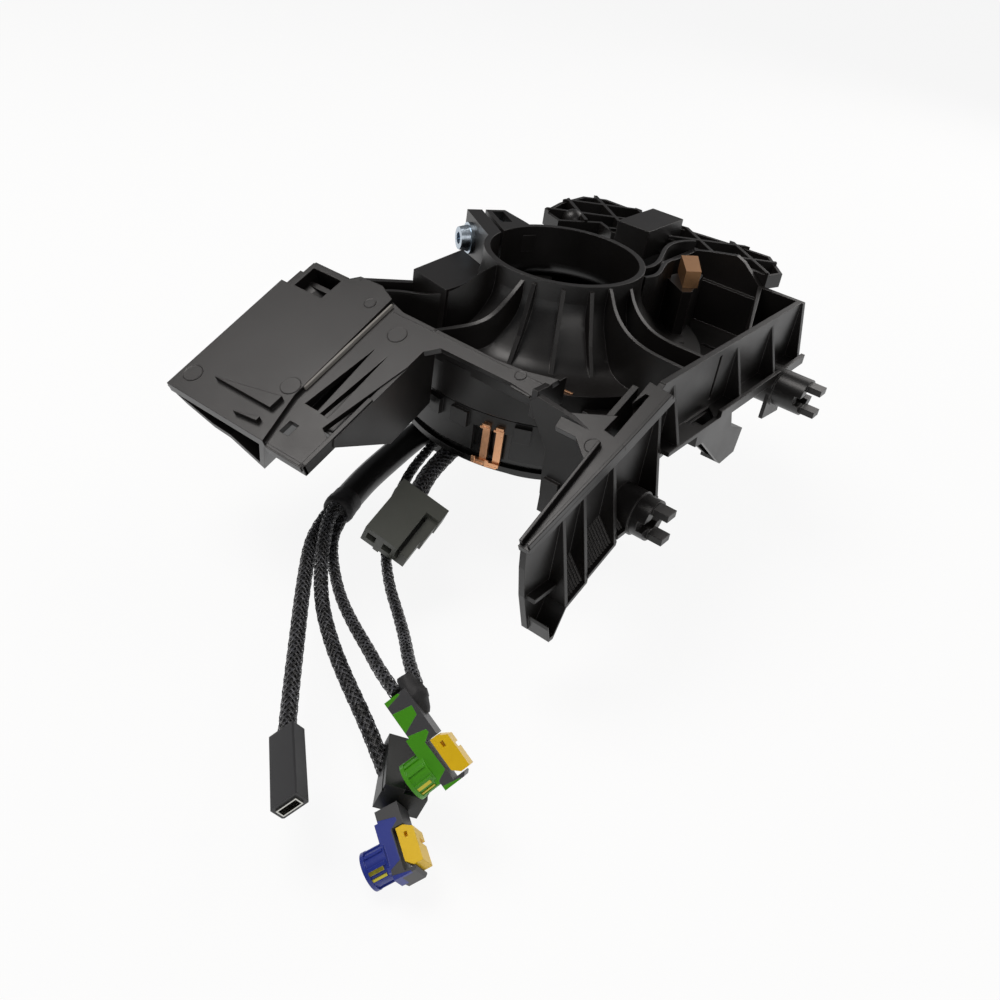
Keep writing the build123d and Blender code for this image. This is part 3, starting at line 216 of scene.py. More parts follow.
# %% Yarns round a centreline
CARRIERS = {"lead_a": 8, "lead_b": 8, "lead_c": 6, "lead_d": 6, "lead_e": 10}  # yarns each way
FILAMENTS = 3  # threads side by side in a yarn
TURN_LENGTH = 4.2  # one turn of a yarn, in cord diameters
COVER = 0.80  # share of the cord's girth that the yarns cover
SPREAD = 1.15  # how far a yarn's threads lie apart, in thread widths
RISE = 0.10 * MM  # how far a yarn rises over another
STEPS_PER_CROSSING = 3
BRAID_T = 0.42  # depth from the braid's outside to the wires' bundle, in millimetres


def along(points, spacing):
    """Points and directions at even spacing along a centreline."""
    lengths = [0.0]
    for a, b in zip(points, points[1:]):
        lengths.append(lengths[-1] + (b - a).length)
    count = max(2, round(lengths[-1] / spacing))
    places = []
    index = 0
    for step in range(count + 1):
        target = lengths[-1] * step / count
        while index < len(points) - 2 and lengths[index + 1] < target:
            index += 1
        part = (target - lengths[index]) / (lengths[index + 1] - lengths[index])
        places.append((target, points[index].lerp(points[index + 1], part)))
    return places


def frames_along(places):
    """A side and a top direction at each place, carried along without twisting."""
    side = Vector((0, 0, 1))
    made = []
    for index, (target, point) in enumerate(places):
        before = places[max(0, index - 1)][1]
        after = places[min(len(places) - 1, index + 1)][1]
        way = (after - before).normalized()
        side = (side - way * side.dot(way)).normalized()
        made.append((target, point, side.copy(), way.cross(side)))
    return made


def braid_curve(name, diameter, carriers):
    """Curves of all the threads of one braid's yarns."""
    pitch = TURN_LENGTH * diameter
    spacing = pitch / (carriers * STEPS_PER_CROSSING)
    path = frames_along(along(centrelines[name], spacing))
    curve = bpy.data.curves.new(name, "CURVE")
    curve.dimensions = "3D"
    lean = math.atan(math.pi / TURN_LENGTH)
    yarn = math.pi * diameter / (2 * carriers) * COVER * math.cos(lean)
    filament = yarn / FILAMENTS
    middle = diameter / 2 - filament * 0.5
    for way in (-1, 1):
        for carrier in range(carriers):
            for strand in range(FILAMENTS):
                from_middle = strand - (FILAMENTS - 1) / 2
                shift = from_middle * filament / (diameter / 2) * SPREAD
                start = 2 * math.pi * carrier / carriers + shift
                spline = curve.splines.new("POLY")
                spline.points.add(len(path) - 1)
                for point, (target, place, side, top) in zip(spline.points, path):
                    wound = way * 2 * math.pi * target / pitch
                    angle = start + wound
                    crossing = carriers * (wound * way) + math.pi * carrier
                    radius = middle + way * RISE * math.sin(crossing)
                    out = side * math.cos(angle) + top * math.sin(angle)
                    point.co = (*(place + out * radius), 1.0)
    curve.bevel_depth = filament / 2
    curve.bevel_resolution = 1
    made = bpy.data.objects.new(name, curve)
    bpy.context.scene.collection.objects.link(made)
    return made


def piece_from(name, body, build):
    """A mesh object whose place is in its mesh, riding on a body."""
    mesh = bpy.data.meshes.new(name)
    build.to_mesh(mesh)
    build.free()
    made = bpy.data.objects.new(name, mesh)
    bpy.context.scene.collection.objects.link(made)
    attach(made, body)
    return made


braid_pieces = {}
for name, diameter in LEADS.items():
    build = bmesh.new()
    core = route_curve(name, (diameter / 2 - BRAID_T) * MM)
    build.from_mesh(mesh_of(core))
    core_faces = len(build.faces)
    build.from_mesh(mesh_of(braid_curve(name, diameter * MM, CARRIERS[name])))
    build.faces.ensure_lookup_table()
    for face in build.faces:
        face.smooth = True
        face.material_index = 0 if face.index < core_faces else 1
    piece = piece_from(name + "_braid", "rotor", build)
    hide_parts(name)
    braid_pieces[name] = piece
    print(piece.name, "has", len(piece.data.polygons), "faces")

# %% [markdown]
# ## Sleeve and cuff
# The wires leave the drum in two ways. Three leads share one smooth sleeve, which ends in
# a cuff of wound tape where they part, and the other two come out by themselves. The
# sleeve is one round curve. The cuff is a cone of rings, each a little off round.

# %% Smooth sleeve and its cuff
CUFF_RINGS = (  # distance past the sleeve's end and radius, in millimetres
    (-3.0, 4.65), (-2.9, 4.85), (0.4, 4.95), (0.5, 5.1), (2.6, 5.1), (2.7, 5.2),
    (4.2, 5.0), (4.8, 4.5), (5.0, 3.6), (4.2, 2.2),
)
sleeve_build = bmesh.new()
sleeve_build.from_mesh(mesh_of(route_curve("sleeve", SLEEVE_D / 2 * MM)))
for face in sleeve_build.faces:
    face.smooth = True
sleeve_piece = piece_from("sleeve_tube", "rotor", sleeve_build)
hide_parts("sleeve")

sleeve_end = centrelines["sleeve"][-1]
sleeve_way = (sleeve_end - centrelines["sleeve"][-4]).normalized()


def rings_build(rings, segments, wobble):
    """A closed turned shape along +Z through rings, slightly off round."""
    build = bmesh.new()
    edges = []
    for index, (z, radius) in enumerate(rings):
        made = bmesh.ops.create_circle(build, segments=segments, radius=radius * MM)
        for number, vertex in enumerate(made["verts"]):
            turned = 2 * math.pi * number / segments
            push = wobble * (math.sin(3 * turned + index) + 0.6 * math.sin(7 * turned - index))
            vertex.co = vertex.co * (1 + push) + Vector((0, 0, z * MM))
        edges.append(list({e for v in made["verts"] for e in v.link_edges}))
    for before, after in zip(edges, edges[1:]):
        bmesh.ops.bridge_loops(build, edges=before + after)
    bmesh.ops.contextual_create(build, geom=edges[0])
    bmesh.ops.contextual_create(build, geom=edges[-1])
    bmesh.ops.recalc_face_normals(build, faces=build.faces)
    for face in build.faces:
        face.smooth = True
    return build


cuff_build = rings_build(CUFF_RINGS, segments=40, wobble=0.012)
cuff_turn = Vector((0, 0, 1)).rotation_difference(sleeve_way).to_matrix().to_4x4()
bmesh.ops.transform(
    cuff_build, matrix=Matrix.Translation(sleeve_end) @ cuff_turn, verts=cuff_build.verts
)
cuff_piece = piece_from("cuff_wrap", "rotor", cuff_build)
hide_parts("sleeve_cuff")
print("sleeve ends at", tuple(round(v / MM, 1) for v in sleeve_end))

# %% [markdown]
# ## Frames of the connectors
# Each connector that gets small parts has its own frame: z runs from its head, where the
# wire enters, to its mouth, and y points out of its top. Small parts are easier to place in
# that frame than in the world, so one function makes the matrix and another builds bevelled
# bars in it.

# %% Connector frames and bars


def plug_frame(head, along_z, up_y):
    """The matrix of a connector's frame, from millimetres in it to metres."""
    z = Vector(along_z).normalized()
    y = (Vector(up_y) - z * Vector(up_y).dot(z)).normalized()
    axes = Matrix((y.cross(z), y, z)).transposed().to_4x4()
    return Matrix.Translation(Vector(head) * MM) @ axes @ Matrix.Scale(MM, 4)


GREEN = plug_frame((61.5, -140.7, -58.7), (0.888, -0.055, -0.454), (0.358, 0.7, 0.617))
BLUE = plug_frame((65.9, -147.8, -81.5), (0.849, -0.506, -0.132), (0.491, 0.689, 0.537))
GREY = plug_frame((4.6, -69.7, -63.5), (0.177, -0.95, -0.257), (0.409, -0.167, 0.897))


def add_bar(build, place, low, high, edge=0.1):
    """A bar with rounded edges between two corners, in millimetres of a placing matrix."""
    low, high = Vector(low), Vector(high)
    made = bmesh.ops.create_cube(build, size=1.0)
    size = high - low
    shape = Matrix.Translation((low + high) / 2) @ Matrix.Diagonal((*size, 1.0))
    bmesh.ops.transform(build, matrix=shape, verts=made["verts"])
    edges = list({e for v in made["verts"] for e in v.link_edges})
    rounded = bmesh.ops.bevel(
        build, geom=edges, offset=edge, affect="EDGES", segments=2, profile=0.5, material=-1
    )
    corners = {v for f in rounded["faces"] for v in f.verts}
    corners |= {v for e in rounded["edges"] for v in e.verts}
    bmesh.ops.transform(build, matrix=place, verts=list(corners))


# %% [markdown]
# ## The plugs' small parts
# The round nose of each right-angle plug is keyed: thin ribs run along it, so that it
# fits only its own socket, and two flat contact blades show in its side. These are short
# bars set round the nose with a turning matrix.

# %% Nose ribs and contact blades
NOSE_AT = 18.3
NOSE_R = 4.2
NOSE_TOP = -3.0
NOSE_END = -9.1
RIB_ANGLES = (20, 62, 118, 150, 180, 216, 250, 292, 338)
RIB_W = 0.9
RIB_H = 0.38
BLADE_ANGLES = (-58, -30)
BLADE_W = 1.24
BLADE_H = 0.22


def turned(angle, radius):
    """A matrix that stands a bar on the nose's round side, at an angle about its axis."""
    return (
        Matrix.Translation((0.0, 0.0, NOSE_AT))
        @ Matrix.Rotation(math.radians(angle), 4, "Y")
        @ Matrix.Translation((0.0, 0.0, radius))
    )


for name, place in (("green", GREEN), ("blue", BLUE)):
    ribs = bmesh.new()
    for angle in RIB_ANGLES:
        low, high = (-RIB_W / 2, NOSE_END + 0.1, -0.3), (RIB_W / 2, NOSE_TOP - 0.4, RIB_H)
        add_bar(ribs, place @ turned(angle, NOSE_R), low, high, 0.12)
    piece_from(f"{name}_nose_ribs", "rotor", ribs)

    blades = bmesh.new()
    for angle in BLADE_ANGLES:
        low, high = (-BLADE_W / 2, NOSE_END + 0.5, -0.2), (BLADE_W / 2, NOSE_TOP - 1.3, BLADE_H)
        add_bar(blades, place @ turned(angle, NOSE_R), low, high, 0.08)
    piece_from(f"{name}_blades", "rotor", blades)
    print(name, "nose has", len(RIB_ANGLES), "ribs and", len(BLADE_ANGLES), "blades")

# %% [markdown]
# ## Tape round the green plug
# Lead D ends under a lump of cloth tape behind the green plug. Wound tape is never even:
# each layer ends a little short of the last. The lump could be sculpted by hand, but a
# turned shape with stepped rings shows the layers with few faces.

# %% Tape wrap
TAPE_RINGS = (  # distance along the wrap's axis and radius, in millimetres
    (-3.0, 1.7), (-2.4, 2.1), (-1.2, 2.2), (-1.0, 2.45), (0.6, 2.8), (0.8, 3.1),
    (2.2, 3.35), (2.4, 3.5), (4.2, 3.0), (4.4, 2.7), (6.6, 2.0), (7.6, 1.4),
)
tape_build = rings_build(TAPE_RINGS, segments=36, wobble=0.03)
TAPE_AT = (1.5, 3.3, 0.0)
TAPE_LEAN = math.radians(7)
tape_place = (
    GREEN
    @ Matrix.Translation(TAPE_AT)
    @ Matrix.Rotation(TAPE_LEAN, 4, "X")
    @ Matrix.Scale(1 / MM, 4)
)
bmesh.ops.transform(tape_build, matrix=tape_place, verts=tape_build.verts)
tape_piece = piece_from("tape_wrap_layers", "rotor", tape_build)
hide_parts("tape_wrap")

# %% [markdown]

# %% [markdown]
# ## Marks of the mould
# Pins push a moulded part out of its mould, and each leaves a faint round mark. On the
# deck they show as shallow rings. A bump map could draw them, but a real rim catches the
# light from every side, so a low cone's top is inset and sunk to make each one.

# %% Ejector marks
DECK_TILT = math.radians(25.0)
DECK_AT = Vector((0.0, -34.0, -10.0))
MARKS = (  # place x, y on the deck, radius, and height over the deck's plane
    (-64.7, -99.8, 3.4, 1.5), (-33.2, -88.3, 3.5, 1.5), (-36.1, -52.6, 2.2, 1.5),
    (-20.1, -57.3, 3.4, 0.0), (23.8, -51.6, 2.0, 0.0), (57.0, -61.2, 2.6, 0.0),
)
MARK_T = 0.5
MARK_PROUD = 0.15  # how far a mark's rim stands over the deck
marks_build = bmesh.new()
for x, y, radius, height in MARKS:
    made = bmesh.ops.create_cone(
        marks_build, cap_ends=True, segments=48, radius1=radius, radius2=radius - 0.08, depth=MARK_T
    )
    faces = {f for v in made["verts"] for f in v.link_faces}
    top = [f for f in faces if f.calc_center_median().z > 0.2]
    inset = bmesh.ops.inset_region(marks_build, faces=top, thickness=0.3)
    bmesh.ops.translate(marks_build, vec=(0, 0, -0.14), verts=top[0].verts)
    verts = {v for f in faces | set(inset["faces"]) | set(top) for v in f.verts}
    offset = y - DECK_AT.y
    at = DECK_AT + Vector((x, offset, offset * math.tan(DECK_TILT)))
    place = (
        Matrix.Scale(MM, 4)
        @ Matrix.Translation(at)
        @ Matrix.Rotation(DECK_TILT, 4, "X")
        @ Matrix.Translation((0, 0, height + MARK_PROUD - MARK_T / 2))
    )
    bmesh.ops.transform(marks_build, matrix=place, verts=list(verts))
piece_from("ejector_marks", "housing", marks_build)
print("ejector marks:", len(MARKS))

# %% [markdown]
# ## Webs behind the openings
# A real moulding is seldom open right through: behind each pocket, window and slot a thin
# web closes it. The webs could be modelled on the housing's own mesh, but bars laid under
# the openings leave that mesh as it came. They are plain on purpose, since little more than
# their dark faces is seen. The tab at the deck's front gets its skirt in the same way.

# %% Webs
DECK_FRAME = (
    Matrix.Scale(MM, 4) @ Matrix.Translation(DECK_AT) @ Matrix.Rotation(DECK_TILT, 4, "X")
)
WORLD_MM = Matrix.Scale(MM, 4)
WEB_BARS = (  # opposite corners in the deck's frame
    ((-27.4, -66.0, -5.2), (-8.6, -33.2, -4.2)),  # tray under the wedge pockets
    ((-27.4, -66.0, -5.2), (-26.4, -33.2, -1.9)),
    ((-27.4, -66.0, -5.2), (-8.6, -65.0, -1.9)),
    ((-27.4, -34.2, -5.2), (-8.6, -33.2, -1.9)),
    ((-10.1, -80.1, -3.8), (-8.4, -50.0, 0.05)),  # skirt on the right of the tab
    ((-24.4, -80.2, -3.8), (-8.4, -79.0, 0.05)),  # and along its front
    ((-66.3, -15.9, -9.5), (-50.6, -15.0, 1.3)),  # behind the switch box's window
    ((-66.3, -27.5, -9.5), (-50.6, -15.0, -8.6)),  # and under it
    ((-66.3, -27.5, -9.5), (-65.3, -15.0, -1.9)),
    ((-51.6, -27.5, -9.5), (-50.6, -15.0, -1.9)),
)
webs = bmesh.new()
for low, high in WEB_BARS:
    add_bar(webs, DECK_FRAME, low, high, 0.15)

# The plate behind the strap under the right panel is one outline, pushed to its thickness.
STRAP_X = 62.1
STRAP_T = 1.0
STRAP = (  # y and z of its corners
    (-15.5, -31.2), (-15.5, -36.0), (-11.0, -36.5), (9.0, -51.0), (18.5, -50.5),
    (19.5, -43.5), (9.0, -38.5), (5.0, -31.2),
)
corners = [webs.verts.new(Vector((STRAP_X, y, z)) * MM) for y, z in STRAP]
plate = webs.faces.new(corners)
pushed = bmesh.ops.extrude_face_region(webs, geom=[plate])
moved = [v for v in pushed["geom"] if isinstance(v, bmesh.types.BMVert)]
bmesh.ops.translate(webs, vec=(STRAP_T * MM, 0, 0), verts=moved)
bmesh.ops.recalc_face_normals(webs, faces=webs.faces)
piece_from("housing_webs", "housing", webs)

grey_web = bmesh.new()
add_bar(grey_web, GREY, (5.6, -3.6, 4.6), (7.2, -1.4, 18.8), 0.15)
piece_from("grey_latch_web", "rotor", grey_web)
print("webs:", len(WEB_BARS) + 2)

# %% [markdown]
# ## Pad in the bore and tip of a contact
# A small flat pad stands on the inside of the bore, and the tip of a copper contact looks
# out at the bell's foot. At this size a detailed model of either would show no more than
# one bevelled bar does. The pad's bar is turned about the bore's axis to its place.

# %% Bore pad and contact tip
PAD_ANGLE = math.radians(154)
pad = bmesh.new()
pad_turn = WORLD_MM @ Matrix.Rotation(PAD_ANGLE, 4, "Z")
add_bar(pad, pad_turn, (24.7, -2.6, -9.0), (26.0, 2.6, -3.0), 0.2)
piece_from("bore_pad", "housing", pad)
tip = bmesh.new()
add_bar(tip, WORLD_MM, (31.0, -38.0, -25.3), (34.2, -37.0, -24.5), 0.15)
piece_from("contact_end", "housing", tip)
print("small details: 2")

# %% [markdown]
# ## Rims of the deck
# Long thin rims stiffen the lower panel's top, so it reads as two walls with a groove
# between them. A rim is a bar laid from one point to another. Turning each by hand would
# mean guessing angles, so a function turns a bar's long side onto its line.

# %% Rims


def add_rim(build, place, start, end, wide, high, edge=0.15):
    """A bar of a width and height that runs from one point to another of a frame."""
    start, end = Vector(start), Vector(end)
    run = end - start
    turn = Matrix.Translation(start) @ run.to_track_quat("X", "Z").to_matrix().to_4x4()
    add_bar(build, place @ turn, (0, -wide / 2, -0.3), (run.length, wide / 2, high), edge)


RIMS = (  # start and end on the deck's plane, width and height
    ((58.5, -28.8, 0), (60.0, -66.6, 0), 1.0, 1.9),  # inner rim of the lower panel
    ((66.0, -4.5, 0), (65.0, -26.6, 0), 1.0, 1.9),  # and its outer rim
    ((65.0, -26.6, 0), (62.5, -66.6, 0), 1.0, 1.9),
    ((24.0, -24.4, 0), (31.4, -24.9, 0), 0.8, 0.6),  # lip at the arch's corner
)
rims = bmesh.new()
for start, end, wide, high in RIMS:
    add_rim(rims, DECK_FRAME, start, end, wide, high)
piece_from("deck_rims", "housing", rims)
print("rims:", len(RIMS))

# %% [markdown]
# ## Pale step bead
# The step of the deck's plate ends in a round bead, coloured a pale grey. It is two rims
# in line with large bevels, because the pale line widens towards its lower end, and it is
# a piece of its own, so that it can have its own pale finish.

# %% Pale step bead
BEAD_H = 1.3
PALE_BEADS = (  # start and end on the deck's plane, and width
    ((-29.7, -17.0, 0), (-29.6, -37.0, 0), 0.9), ((-29.6, -36.0, 0), (-29.5, -58.0, 0), 1.1),
)
bead_build = bmesh.new()
for start, end, wide in PALE_BEADS:
    add_rim(bead_build, DECK_FRAME, start, end, wide, BEAD_H, 0.35)
piece_from("pale_step_bead", "housing", bead_build)
print("scuffed beads:", len(PALE_BEADS))

# %% [markdown]
# ## Feet of the spring contacts
# Each copper strip in the arch is a spring. It ends below in a foot that is bent sideways and
# up, and above in a small hook. The strips themselves come from the CAD frame, and their
# ends are short bars in a frame that is turned about the drum's axis to each strip.

# %% Spring feet of the contacts
CONTACT_ANGLES = (-74.8, -69.8)
FOOT_BARS = (  # opposite corners: x out of the drum, y round it, z up
    ((50.6, -3.6, -55.0), (52.8, 0.6, -54.2)),
    ((52.1, -3.6, -55.0), (52.9, -2.2, -52.6)),
    ((51.0, -1.9, -41.6), (53.0, 0.9, -40.8)),
)
feet = bmesh.new()
for angle in CONTACT_ANGLES:
    around = WORLD_MM @ Matrix.Rotation(math.radians(angle), 4, "Z")
    for low, high in FOOT_BARS:
        add_bar(feet, around, low, high, 0.15)
piece_from("contact_feet", "housing", feet)
print("bars of the contacts' feet:", len(CONTACT_ANGLES) * len(FOOT_BARS))

# %% [markdown]
# ## Ridges of the lower panel
# Below the ribs of the lower panel, each bay ends in a sloping foot with fine ridges that
# stiffen the thin wall. A foot is a row of short bars laid down the slope, and every bar
# carries one ridge. The floor of a bay falls along the panel, so each bar starts at its
# own height.

# %% Ridged feet
PANEL_X = 62.0
RIDGE_PITCH = 1.05
RIDGE_W = 0.46
RIDGE_H = 0.34
FOOT_RISE = 7.4  # how far up the wall a foot starts
FOOT_OUT = 5.6  # how far out it ends
RIDGED_BAYS = (  # from y, to y, and the floor's height at both ends
    (-47.6, -54.6, -49.3, -49.5), (-57.9, -67.6, -52.3, -56.2), (-70.7, -76.8, -59.2, -61.7),
)
ridges_build = bmesh.new()
count = 0
for start, end, floor_start, floor_end in RIDGED_BAYS:
    steps = int((start - end) / RIDGE_PITCH)
    for step in range(steps + 1):
        y = start - step * RIDGE_PITCH
        foot = floor_start + (floor_end - floor_start) * step / steps
        top, toe = (PANEL_X - 0.3, y, foot + FOOT_RISE), (PANEL_X + FOOT_OUT, y, foot + 0.3)
        add_rim(ridges_build, WORLD_MM, top, toe, RIDGE_PITCH + 0.05, 0.0, 0.02)
        add_rim(ridges_build, WORLD_MM, top, toe, RIDGE_W, RIDGE_H, 0.10)
        count += 1
piece_from("panel_ridges", "housing", ridges_build)
print("ridges:", count)

# %% [markdown]
# ## Moulded plastics
# The housing is glass-filled PBT, injection moulded in near-black. Three things give it
# its look: a fine spark-eroded grain that breaks up reflections, slow changes in gloss
# where the melt flowed, and edges with a small radius, lightened by a painted highlight.
# The Bevel node rounds the shading of sharp edges, and the angle between that rounded
# normal and the true one shows where an edge is, which is where the painted highlight goes.

# %% Moulded plastic material
FLOW_SIZE = 28 * MM  # how large the changes in gloss are
MOTTLE = 0.14  # share by which the colour drifts either way
GLOSS_DRIFT = 0.07  # and the roughness
# These cosines set where the painted edge highlight starts and where it is full.
EDGE_STARTS, EDGE_FULL = 0.995, 0.80  # cosines of the rounded normal with the true one


def moulded(name, colour, roughness, grain, edge, edge_highlight_gain, relief=0.03, ior=1.52):
    """Moulded plastic: grain size, edge radius and relief in millimetres."""
    material, tree, shader, place = new_material(name)
    fine = add_node(
        tree, "ShaderNodeTexNoise",
        [("Vector", place), ("Scale", 1 / (grain * MM)), ("Detail", 2.0)],
    )
    flow = add_node(
        tree, "ShaderNodeTexNoise",
        [("Vector", place), ("Scale", 1 / FLOW_SIZE), ("Detail", 4.0), ("Roughness", 0.6)],
    )
    geometry = add_node(tree, "ShaderNodeNewGeometry")
    soft = add_node(tree, "ShaderNodeBevel", [("Radius", edge * MM)], samples=6)
    facing = add_node(
        tree, "ShaderNodeVectorMath",
        [(0, soft.outputs["Normal"]), (1, geometry.outputs["Normal"])],
        operation="DOT_PRODUCT",
    )
    # Mask of the painted edge highlight: where the rounded normal turns away from the true one.
    edge_highlight_mask = add_node(
        tree, "ShaderNodeMapRange",
        [
            ("Value", facing.outputs["Value"]),
            ("From Min", EDGE_STARTS), ("From Max", EDGE_FULL), ("To Min", 0.0), ("To Max", 1.0),
        ],
    )
    base = linear(colour)
    mottled = add_node(
        tree, "ShaderNodeMix",
        [
            ("Factor", flow.outputs["Fac"]),
            (6, (*[c * (1 - MOTTLE) for c in base[:3]], 1.0)),
            (7, (*[c * (1 + MOTTLE) for c in base[:3]], 1.0)),
        ],
        data_type="RGBA",
    )
    # Painted highlight: on edges the base colour is lightened by the gain, standing in for light
    # caught by their radius.
    highlighted_colour = add_node(
        tree, "ShaderNodeMix",
        [
            ("Factor", edge_highlight_mask.outputs["Result"]),
            (6, mottled.outputs[2]), (7, (*[c * edge_highlight_gain for c in base[:3]], 1.0)),
        ],
        data_type="RGBA",
    )
    gloss = add_node(
        tree, "ShaderNodeMapRange",
        [
            ("Value", flow.outputs["Fac"]), ("From Min", 0.3), ("From Max", 0.7),
            ("To Min", roughness - GLOSS_DRIFT), ("To Max", roughness + GLOSS_DRIFT),
        ],
    )
    bump = add_node(
        tree, "ShaderNodeBump",
        [
            ("Height", fine.outputs["Fac"]), ("Distance", relief * MM), ("Strength", 0.35),
            ("Normal", soft.outputs["Normal"]),
        ],
    )
    tree.links.new(highlighted_colour.outputs[2], shader.inputs["Base Color"])
    tree.links.new(gloss.outputs["Result"], shader.inputs["Roughness"])
    tree.links.new(bump.outputs["Normal"], shader.inputs["Normal"])
    shader.inputs["IOR"].default_value = ior
    return material


# The sixth number of each call is the gain of the painted edge highlight.
housing_pbt = moulded("black_pbt_spark_eroded", "#151312", 0.38, 0.42, 0.30, 4.0, 0.04)
# The step's bead is simply coloured a pale grey, much lighter than the housing.
pale_bead_pbt = moulded("pale_grey_pbt_bead", "#8a8782", 0.62, 0.55, 0.10, 1.2, 0.10)
drum_pom = moulded("black_pom_drum_smooth", "#0f0e0e", 0.26, 0.50, 0.25, 1.8, 0.02)
carrier_pbt = moulded("black_pbt_carrier", "#161514", 0.38, 0.30, 0.20, 2.0)
shell_grey = moulded("dark_grey_pa_shell", "#424244", 0.45, 0.25, 0.18, 1.5)
grey_pa = moulded("grey_pa_plug", "#50524c", 0.48, 0.25, 0.20, 1.35)
green_pbt = moulded("green_pbt_connector", "#479a0f", 0.34, 0.30, 0.18, 1.25)
blue_pbt = moulded("blue_pbt_connector", "#22338f", 0.34, 0.30, 0.18, 1.35)
yellow_pbt = moulded("yellow_pbt_lock", "#f2c60c", 0.34, 0.30, 0.20, 1.05)
coupler_pa = moulded("black_pa_coupler", "#161817", 0.42, 0.25, 0.20, 2.2)
slim_abs = moulded("black_abs_slim_plug", "#2c2c2e", 0.36, 0.25, 0.20, 2.2)
print("moulded plastics made: 11")

# %% [markdown]
# ## Metals
# Zinc-plated steel has a cool, slightly cloudy shine, copper strip is warm and a little
# uneven, and sintered bronze is dull and finely pitted. A metal's colour is its reflection,
# so the base colour holds it and metallic is 1. One noise drives both tone and gloss.

# %% Metal materials
TONE_DRIFT = 0.12  # share by which a metal's colour drifts either way


def plated(name, colour, roughness, cloud, spread, relief=0.0):
    """A metal whose gloss drifts over patches of a size in millimetres."""
    material, tree, shader, place = new_material(name)
    drift = add_node(
        tree, "ShaderNodeTexNoise",
        [("Vector", place), ("Scale", 1 / (cloud * MM)), ("Detail", 5.0), ("Roughness", 0.65)],
    )
    gloss = add_node(
        tree, "ShaderNodeMapRange",
        [
            ("Value", drift.outputs["Fac"]), ("From Min", 0.3), ("From Max", 0.7),
            ("To Min", roughness - spread), ("To Max", roughness + spread),
        ],
    )
    base = linear(colour)
    tone = add_node(
        tree, "ShaderNodeMix",
        [
            ("Factor", drift.outputs["Fac"]),
            (6, (*[c * (1 - TONE_DRIFT) for c in base[:3]], 1.0)),
            (7, (*[min(1.0, c * (1 + TONE_DRIFT)) for c in base[:3]], 1.0)),
        ],
        data_type="RGBA",
    )
    tree.links.new(tone.outputs[2], shader.inputs["Base Color"])
    tree.links.new(gloss.outputs["Result"], shader.inputs["Roughness"])
    shader.inputs["Metallic"].default_value = 1.0
    if relief:
        bump = add_node(
            tree, "ShaderNodeBump",
            [("Height", drift.outputs["Fac"]), ("Distance", relief * MM), ("Strength", 0.5)],
        )
        tree.links.new(bump.outputs["Normal"], shader.inputs["Normal"])
    return material


zinc = plated("zinc_plated_steel", "#b4c0cb", 0.30, 1.5, 0.08, 0.02)
copper = plated("rolled_copper_strip", "#f0b58a", 0.34, 0.8, 0.08, 0.01)
bronze = plated("sintered_bronze", "#b98d66", 0.46, 0.4, 0.10, 0.05)
tinned = plated("tin_plated_shell", "#c4c3bd", 0.28, 0.8, 0.06, 0.01)
blade_brass = plated("stamped_brass_blade", "#c2b748", 0.40, 0.8, 0.08, 0.01)
print("metals made: 5")

# %% [markdown]
# ## Yarn, tape and sleeve
# The yarn is black polyester: dark, but each thread has a narrow, fairly bright
# highlight, so the weave glints, and lighter patches painted into its colour add more
# glints. Cloth tape is dull and finely rough. The sleeve is soft PVC, satin and faintly
# wrinkled. A woven pattern could be drawn for the tape, but at this size a fine noise in
# the bump looks the same.

# %% Soft materials
yarn_black, yarn_tree, yarn_shader, yarn_place = new_material("polyester_braid_yarn")
# Painted glints: a noise lightens patches of the yarn's colour, standing in for highlights on its
# threads.
painted_glint_noise = add_node(
    yarn_tree, "ShaderNodeTexNoise",
    [("Vector", yarn_place), ("Scale", 1 / (1.6 * MM)), ("Detail", 2.0)],
)
yarn_glint_ramp = add_node(yarn_tree, "ShaderNodeValToRGB", [("Fac", painted_glint_noise.outputs["Fac"])])
yarn_glint_ramp.color_ramp.elements[0].position = 0.42
yarn_glint_ramp.color_ramp.elements[0].color = linear("#0a0a0b")
yarn_glint_ramp.color_ramp.elements[1].position = 0.66
yarn_glint_ramp.color_ramp.elements[1].color = linear("#4c4d52")
yarn_tree.links.new(yarn_glint_ramp.outputs["Color"], yarn_shader.inputs["Base Color"])
yarn_shader.inputs["Roughness"].default_value = 0.24
yarn_shader.inputs["Sheen Weight"].default_value = 0.15

core_black, core_tree, core_shader, core_place = new_material("wire_core_pvc")
core_tone = add_node(
    core_tree, "ShaderNodeTexNoise", [("Vector", core_place), ("Scale", 1 / (2.0 * MM))]
)
core_ramp = add_node(core_tree, "ShaderNodeValToRGB", [("Fac", core_tone.outputs["Fac"])])
core_ramp.color_ramp.elements[0].color = linear("#0a0a0b")
core_ramp.color_ramp.elements[1].color = linear("#161617")
core_tree.links.new(core_ramp.outputs["Color"], core_shader.inputs["Base Color"])
core_shader.inputs["Roughness"].default_value = 0.6


